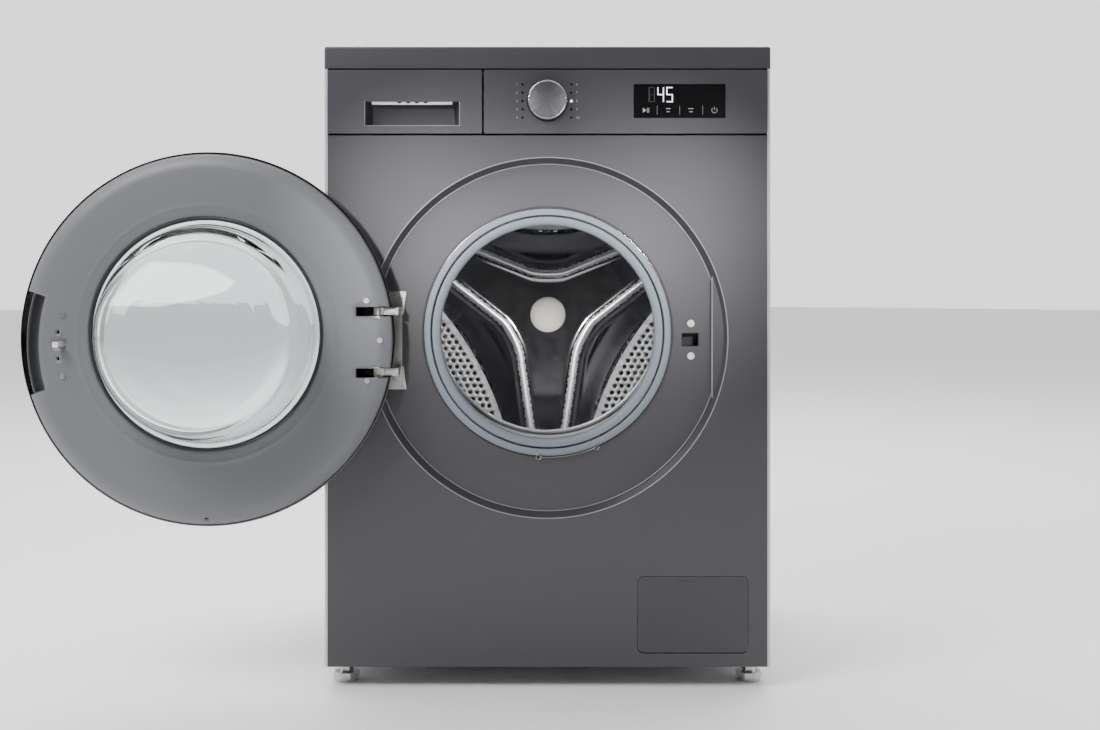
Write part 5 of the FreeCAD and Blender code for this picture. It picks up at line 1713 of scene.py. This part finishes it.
# ---------------------------------------------------------------- controls
@dataclass
class Controls:
    """Program knob, its marks, and the display."""

    frame: Frame
    knob_r: float = 26.5
    lamp_pitch: float = 11.15
    segment: float = 1.1
    segment_gap: float = 0.25
    number_high: float = 4.6
    number_gap: float = 4.6
    digit_wide: float = 8.6
    digit_tall: float = 20.0
    digit_left: float = 32.0
    digit_foot: float = 0.47
    key_row: float = 10.5
    play_left: float = 12.5
    level_keys: tuple[tuple[float, Flat], ...] = ((46.5, (6.0, 4.2)), (77.0, (6.4, 4.6)))
    power_left: float = 108.5
    dividers: tuple[float, ...] = (0.255, 0.50, 0.75)

    def face_y(self) -> float:
        """Y place of the control panel's face.

        Returns:
            The place in metres.
        """
        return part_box("control_panel")[0][1]

    def build_knob(self) -> None:
        """Knob body with a softly domed spun face, and its chrome ring."""
        y0, z = self.face_y(), self.frame.panel_mid
        r = self.knob_r
        front = rounded([(0.0, -20.4, 0), (15, -20.2, 6), (r - 2.4, -19.6, 0.6)], 5, False)
        trim = rounded([(r - 2.5, -19.6, 0), (r - 2.3, -20.6, 0.5), (r - 1.2, -20.6, 0.5),
                        (r - 0.2, -18.6, 0.6), (r, -17.0, 0.5), (r - 0.5, -15.2, 0.5)], 4, False)
        side = rounded([(r - 0.5, -15.2, 0), (r - 0.8, -14.6, 0.3), (r - 0.3, -1.0, 0.5),
                        (r - 1.4, -0.3, 0.5), (4, -0.3, 0)], 4, False)
        # The face's colour swings between dark and pale grey with the angle about the centre:
        # painted highlights for the fans of light on turned metal.
        spun = SpunFace("spun_aluminium_painted_sheen", "#4A4A4D", "#A2A2A6", 0.34, 1.0, centre=(0.0, y0, z),
                        spread=0.1, relief_mm=0.01)
        made = []
        for name, outline, finish in (("knob_spun_face", front, spun),
                                      ("knob_chrome_ring", trim, CHROME),
                                      ("knob_side", side, SLATE_ABS)):
            verts, faces = turned([(at, deep, z) for at, deep in outline], y0, 128, False)
            made.append(piece(name, verts, faces, finish, "knob", 50, bool(made)))
        facing(made[0], lambda spot: TO_DOOR)
        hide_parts("knob_trim")
        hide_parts("selector_knob")

    def strip(self, name: str, loops: Sequence[Sequence[Flat]], y: float, finish: Look,
              high: float = 0.12) -> bpy.types.Object:
        """Thin raised print made of flat loops, seen from the front.

        Args:
            name: its name.
            loops: convex outlines of (x, z) in metres.
            y: Y place of the surface that it lies on.
            finish: its finish.
            high: its thickness in millimetres.

        Returns:
            The print.
        """
        made = prism(name, loops, y - high * MM, y, finish, "cabinet")
        return made

    def digit(self, value: int, x: float, z: float, wide: float, tall: float
              ) -> list[list[Flat]]:
        """Loops of a seven segment digit.

        Args:
            value: the digit.
            x: its left edge.
            z: its lower edge.
            wide: its width.
            tall: its height.

        Returns:
            One loop for each lit segment.
        """
        table = {1: "bc", 4: "fgbc", 5: "afgcd", 8: "abcdefg"}
        t, g = self.segment * MM, self.segment_gap * MM
        across, upright, upper = wide - 2 * g, tall / 2 - 2 * g, z + tall / 2 + g
        left, right = x, x + wide - t
        spots = {"a": (x + g, z + tall - t, across, t), "d": (x + g, z, across, t),
                 "g": (x + g, z + tall / 2 - t / 2, across, t),
                 "f": (left, upper, t, upright), "b": (right, upper, t, upright),
                 "e": (left, z + g, t, upright), "c": (right, z + g, t, upright)}
        return [rect(*spots[name]) for name in table[value]]

    def build_display(self) -> None:
        """Digits and touch symbols on the display window."""
        lo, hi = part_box("display_window")
        y = lo[1]
        wide, tall = self.digit_wide * MM, self.digit_tall * MM
        z = lo[2] + (hi[2] - lo[2]) * self.digit_foot
        x = lo[0] + self.digit_left * MM
        places = ((4, 0.0), (5, 12.0), (8, -12.0), (1, -18.5))
        four, five, eight, one = (self.digit(value, x + shift * MM, z, wide, tall)
                                  for value, shift in places)
        self.strip("display_digits", four + five, y, GLOW)
        # The unlit digits take a faint painted glow.
        self.strip("display_ghost_digits", eight + one, y, UNLIT_GLOW, 0.08)
        zi = lo[2] + self.key_row * MM
        px = lo[0] + self.play_left * MM
        icons = [[(px, zi - 3.4 * MM), (px + 4.6 * MM, zi), (px, zi + 3.4 * MM)]]
        icons += [rect(px + (5.6 + 1.9 * k) * MM, zi - 3.2 * MM, 0.8 * MM, 6.4 * MM)
                  for k in range(2)]
        icons += [rect(lo[0] + (hi[0] - lo[0]) * share, zi - 6 * MM, 0.35 * MM, 12 * MM)
                  for share in self.dividers]
        for at, widths in self.level_keys:
            icons += self.bars(lo[0] + at * MM, zi, widths)
        icons += self.power(lo[0] + self.power_left * MM, zi)
        self.strip("display_symbols", icons, y, ICON, 0.1)

    def bars(self, x: float, z: float, widths: Sequence[float]) -> list[list[Flat]]:
        """Level bars of an option key.

        Args:
            x: middle of the bars.
            z: middle of the row of keys.
            widths: of each bar in millimetres, from the top.

        Returns:
            One loop for each bar.
        """
        return [rect(x - wide / 2 * MM, z + (1.6 - 4.2 * k) * MM, wide * MM, 1.0 * MM)
                for k, wide in enumerate(widths)]

    def power(self, x: float, z: float) -> list[list[Flat]]:
        """Ring and bar of the power key.

        Args:
            x: its middle.
            z: its height.

        Returns:
            Loops for the ring's steps and for the bar.
        """
        start = math.radians(90 + 38)
        stop = start + math.radians(284)
        inner, outer = (arc(r * MM, start, stop, 20) for r in (3.2, 4.0))
        out = [[(x + u, z + v) for u, v in (inner[k], outer[k], outer[k + 1], inner[k + 1])]
               for k in range(20)]
        return out + [rect(x - 0.4 * MM, z + 0.4 * MM, 0.8 * MM, 4.2 * MM)]

    def build_numbers(self) -> None:
        """Program numbers beside the lamps, and the one lit lamp."""
        y = self.face_y()
        lo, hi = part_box("indicator_lamps")
        z = self.frame.panel_mid
        number = 0
        for side, x in (("RIGHT", lo[0] - self.number_gap * MM),
                        ("LEFT", hi[0] + self.number_gap * MM)):
            for row in range(5):
                number += 1
                spot = (x, y, z + (2 - row) * self.lamp_pitch * MM)
                label(f"program_number_{number}", str(number), spot, self.number_high * MM, side)
        lamp = circle(hi[0] - 1.7 * MM, z, 1.75 * MM, 24)
        made = self.strip("lit_lamp", [lamp], lo[1], GLOW, 0.15)

    def build(self) -> None:
        """Makes the controls."""
        self.build_knob()
        self.build_display()
        self.build_numbers()


def label(name: str, words: str, spot: Point, size: float, align: str) -> None:
    """A short printed number on the control panel.

    Args:
        name: the print's name.
        words: what it says.
        spot: its anchor, on the panel's face.
        size: its height.
        align: LEFT or RIGHT of the anchor.
    """
    text = bpy.data.curves.new(name, "FONT")
    text.body = words
    text.size = size
    text.align_x = align
    text.align_y = "CENTER"
    text.extrude = 0.04 * MM
    holder = placed(name + "_text", text)
    mesh = settled(holder)
    bpy.data.objects.remove(holder)
    mesh.transform(Matrix.Translation(Vector(spot) - Vector((0, 0.05 * MM, 0)))
                   @ Matrix.Rotation(math.pi / 2, 4, "X"))
    mesh.materials.clear()
    mesh.materials.append(PRINT.material())
    made = placed(name, mesh)
    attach(made, "cabinet")


# ---------------------------------------------------------------- cabinet
@dataclass
class Cabinet:
    """Sheet steel shell, plastics and everything inside it."""

    frame: Frame
    soft_edge: float = 0.5
    finishes: dict[str, Look] = field(default_factory=lambda: {
        "left_side_panel": SILVER, "right_side_panel": SILVER, "rear_panel": GALVANISED,
        "base_frame": GALVANISED, "top_frame": GALVANISED, "cabinet_fasteners": ZINC,
        "inlet_valve": WHITE_PP, "inner_hoses": HOSE_RUBBER, "main_board_case": WHITE_PP,
        "dispenser_housing": WHITE_PP,
        "door_lock": NYLON, "door_lock_screws": CREAM, "damper_cylinders": ENAMEL,
        "drain_pump": WHITE_PP, "control_board": BOARD,
        "indicator_lamps": LENS, "tub_front_shell": TUB_PP, "tub_rear_shell": TUB_PP,
        "tub_fasteners": ZINC, "front_counterweight": CONCRETE, "heater_element": STAINLESS,
        "damper_rods": SPRING_STEEL, "drum_bearings": SPRING_STEEL, "motor_stator": WINDING,
        "drum_lifters": STAINLESS, "drum_spider": CAST_ALLOY, "motor_rotor": ENAMEL,
        "door_fittings": ZINC, "latch_hook": WHITE_PP, "drawer_tray": WHITE_PP,
        "pump_filter": WHITE_PP, "pump_impeller": NYLON, "rear_fittings": NYLON,
    })

    def dress(self) -> None:
        """Gives every frame node that stays its own finish."""
        for node, finish in self.finishes.items():
            made = FRAME_NODES[node]
            for slot in made.material_slots:
                slot.material = finish.material()
            LOG.info("%s: dressed as %s", node, finish.name)

    def bending(self, node: str, finish: Look) -> None:
        """Copies a node onto no body, with its place baked into its mesh.

        Args:
            node: the frame node.
            finish: its finish.
        """
        made = refined(node, finish, None)
        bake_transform(made)

    def build(self) -> None:
        """Refines what shows outside and dresses the rest."""
        self.dress()
        edge = self.soft_edge * MM
        refined("front_panel", SLATE, "cabinet", 0.35 * MM)
        refined("top_plate", SLATE_ABS, "cabinet", sharp=6)
        refined("control_panel", SLATE_ABS, "cabinet", sharp=6)
        refined("drawer_front", SLATE_ABS, "drawer", sharp=6)
        refined("service_door", SLATE_ABS, "service_flap", sharp=6)
        refined("display_window", PIANO, "cabinet", 0.2 * MM)
        refined("hinge_base", ZINC, "cabinet", edge)
        refined("rear_cover", GALVANISED, "cabinet")
        self.bending("fill_hose", HOSE_RUBBER)
        self.bending("sump_hose", HOSE_RUBBER)
        self.bending("suspension_springs", SPRING_STEEL)
        for corner in ("front_left", "front_right", "rear_left", "rear_right"):
            refined("foot_" + corner, ZINC, corner + "_foot", 0.4 * MM)


# ---------------------------------------------------------------- recess
@dataclass
class Recess:
    """Painted highlights: pale wires round the recess's rolled edges and along the finger scoop."""

    frame: Frame
    rim: float = 242.4
    floor: float = 234.4
    deep: float = 13.3
    flat: float = 222.2
    wire: float = 0.75
    step_deep: float = 8.0
    step_reach: float = 1.06

    def build(self) -> None:
        """Makes the highlight wires on the rim's edge, the floor's edge and the scoop's step."""
        z, y = self.frame.ring.z, self.frame.front
        stop = math.acos(self.flat / self.floor)
        loops = []
        for radius, deep, turns in ((self.rim, 0.0, (0.0, 2 * math.pi, 240)),
                                    (self.floor, self.deep, (stop, 2 * math.pi - stop, 200))):
            loops.append([(u, y + deep * MM, z + v) for u, v in arc(radius * MM, *turns)])
        loops[1].append(loops[1][0])
        loops.append([(self.flat * MM, y + self.step_deep * MM,
                       z + side * self.rim * MM * math.sin(stop) * self.step_reach)
                      for side in (1, -1)])
        # Pale wires that stand for light caught on the edges: painted highlights.
        made = wires("recess_edge_highlights", loops, self.wire * MM, EDGE, "cabinet")


# ---------------------------------------------------------------- drawer grip
@dataclass
class Grip:
    """Silver insert along the top of the drawer's grip, with four round notches, a black strip of
    painted shade behind them and a painted highlight along the pocket's edge.
    """

    wide: float = 107.8
    high: float = 3.9
    notch: float = 3.2
    notch_pitch: float = 11.7
    from_right: float = 148.0
    above: float = 42.6
    inset: float = 1.2
    deep: float = 1.6
    pocket_left: float = 50.0
    pocket_right: float = 30.0
    pocket_low: float = 10.5
    pocket_high: float = 43.0
    edge_wire: float = 0.55

    def outline(self) -> list[Flat]:
        """Front outline of the insert, in metres.

        Returns:
            Points of (x, z), anticlockwise from the lower left.
        """
        lo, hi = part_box("drawer_front")
        left = hi[0] / MM - self.from_right
        top = lo[2] / MM + self.above
        loop = rect(left, top - self.high, self.wide, self.high)[:3]
        middle = left + self.wide / 2 + 0.8
        for k in (1.5, 0.5, -0.5, -1.5):
            at = middle + k * self.notch_pitch
            for turn in range(0, 181, 20):
                a = math.radians(turn)
                loop.append((at + self.notch * math.cos(a), top - 0.75 * self.notch * math.sin(a)))
        loop.append((left, top))
        return [(x * MM, z * MM) for x, z in loop]

    def build(self) -> None:
        """Makes the insert just inside the pocket's mouth."""
        loop = self.outline()
        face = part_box("drawer_front")[0][1] + self.inset * MM
        made = prism("drawer_grip_insert", [loop], face, face + self.deep * MM, INSERT, "drawer")
        self.backing(face + self.deep * MM)
        self.edge()

    def backing(self, y: float) -> None:
        """Black strip that shows through the notches: painted shade for the pocket's shadowed
        inside.

        Args:
            y: Y place of its front, in metres.
        """
        lo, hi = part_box("drawer_front")
        strip = rect(hi[0] - self.from_right * MM, lo[2] + (self.above - self.high) * MM,
                     self.wide * MM, self.high * MM)
        made = prism("drawer_grip_shade_strip", [strip], y, y + 1.2 * MM, NYLON, "drawer")

    def edge(self) -> None:
        """Painted highlight: a pale wire along the pocket's sides and its foot, where the edge
        catches the light.
        """
        lo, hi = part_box("drawer_front")
        x0, x1 = lo[0] + self.pocket_left * MM, hi[0] - self.pocket_right * MM
        z0, z1 = lo[2] + self.pocket_low * MM, lo[2] + self.pocket_high * MM
        y = lo[1] + 0.1 * MM
        made = wires("drawer_pocket_highlight", [[(x0, y, z1), (x0, y, z0), (x1, y, z0), (x1, y, z1)]],
                     self.edge_wire * MM, EDGE, "drawer")


# ---------------------------------------------------------------- studio
@dataclass
class Studio:
    """Pale floor, soft lamps and the camera."""

    frame: Frame
    distance: float = 1.95
    eye: float = 0.555
    aside: float = 0.0034
    field: float = 1.4779
    drop: float = 90 / 1100
    dark: float = 0.06
    pale: float = 1.7
    dark_from: float = -0.75
    dark_to: float = 0.45
    spot_cone: float = 8.5
    sensor: float = 36.0
    floor_radius: float = 14.0
    floor_middle: float = 9.6

    def lamp(self, name: str, place: Point, aim: Point, power: float, size: Flat | None = None
             ) -> None:
        """One soft lamp.

        Args:
            name: its name.
            place: where it is.
            aim: what it looks at.
            power: in watts.
            size: width and height of a panel, or None for a narrow beam.
        """
        data = bpy.data.lights.new(name, "AREA" if size else "SPOT")
        data.energy = power
        if size:
            data.shape = "RECTANGLE"
            data.size, data.size_y = size
        else:
            data.spot_size = math.radians(self.spot_cone)
            data.spot_blend = 0.4
            data.shadow_soft_size = 0.12
        made = placed(name, data)
        made.location = place
        made.rotation_euler = (Vector(aim) - Vector(place)).to_track_quat("-Z", "Y").to_euler()

    def build(self) -> None:
        """Makes the floor, lamps and camera."""
        scene = bpy.context.scene
        mesh = bpy.data.meshes.new("studio_floor")
        r = self.floor_radius
        mesh.from_pydata([(x, y, 0.0) for x, y in circle(0, self.floor_middle, r, 64)], [],
                         [tuple(range(64))])
        floor = placed("studio_floor", mesh)
        mesh.materials.append(STUDIO.material())
        world = bpy.data.worlds.new("studio_world")
        scene.world = world
        world.use_nodes = True
        tree = world.node_tree
        tree.nodes.clear()
        way = add(tree, "ShaderNodeTexCoord")
        axes = add(tree, "ShaderNodeSeparateXYZ", {0: way.outputs["Generated"]})
        behind = add(tree, "ShaderNodeMapRange", {"Value": axes.outputs["Y"]},
                     {"From Min": self.dark_from, "From Max": self.dark_to,
                      "To Min": self.dark, "To Max": self.pale}, interpolation_type="SMOOTHSTEP")
        light = add(tree, "ShaderNodeBackground", {"Strength": behind.outputs[0]},
                    {"Color": srgb("#FFFFFF")})
        add(tree, "ShaderNodeOutputWorld", {"Surface": light.outputs[0]})
        inside = (0.0, 0.1, self.frame.axis_z)
        self.lamp("key", (-1.3, -1.4, 2.0), (-0.15, -0.2, 0.7), 54, (1.1, 1.1))
        self.lamp("fill", (2.3, -1.9, 1.4), (0.0, -0.2, 0.4), 10, (0.9, 1.8))
        self.lamp("top", (0.0, 1.9, 3.2), (0.0, 1.2, 0.0), 150, (4.0, 3.0))
        self.lamp("drum_left", (-0.7, -2.3, 1.05), inside, 300)
        self.lamp("drum_right", (0.7, -2.3, 1.05), inside, 300)
        camera = bpy.data.cameras.new("studio_camera")
        camera.sensor_width = self.sensor
        camera.lens = self.sensor * self.distance / self.field
        camera.shift_y = -self.drop
        seen = placed("studio_camera", camera)
        seen.location = (self.aside, self.frame.front - self.distance, self.eye)
        seen.rotation_euler = (math.pi / 2, 0, 0)
        scene.camera = seen


def main() -> None:
    """Builds the washing machine, piece by piece."""
    logging.basicConfig(level=logging.INFO, format="%(message)s")
    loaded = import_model()
    FRAME_NODES.update(loaded["nodes"])
    frame = Frame.read(loaded["record"])
    Studio(frame).build()
    Cabinet(frame).build()
    Controls(frame).build()
    Grip().build()
    Recess(frame).build()
    Gasket(frame).build()
    Door(frame).build()
    Drum(frame).build()


if __name__ == "__main__":
    main()
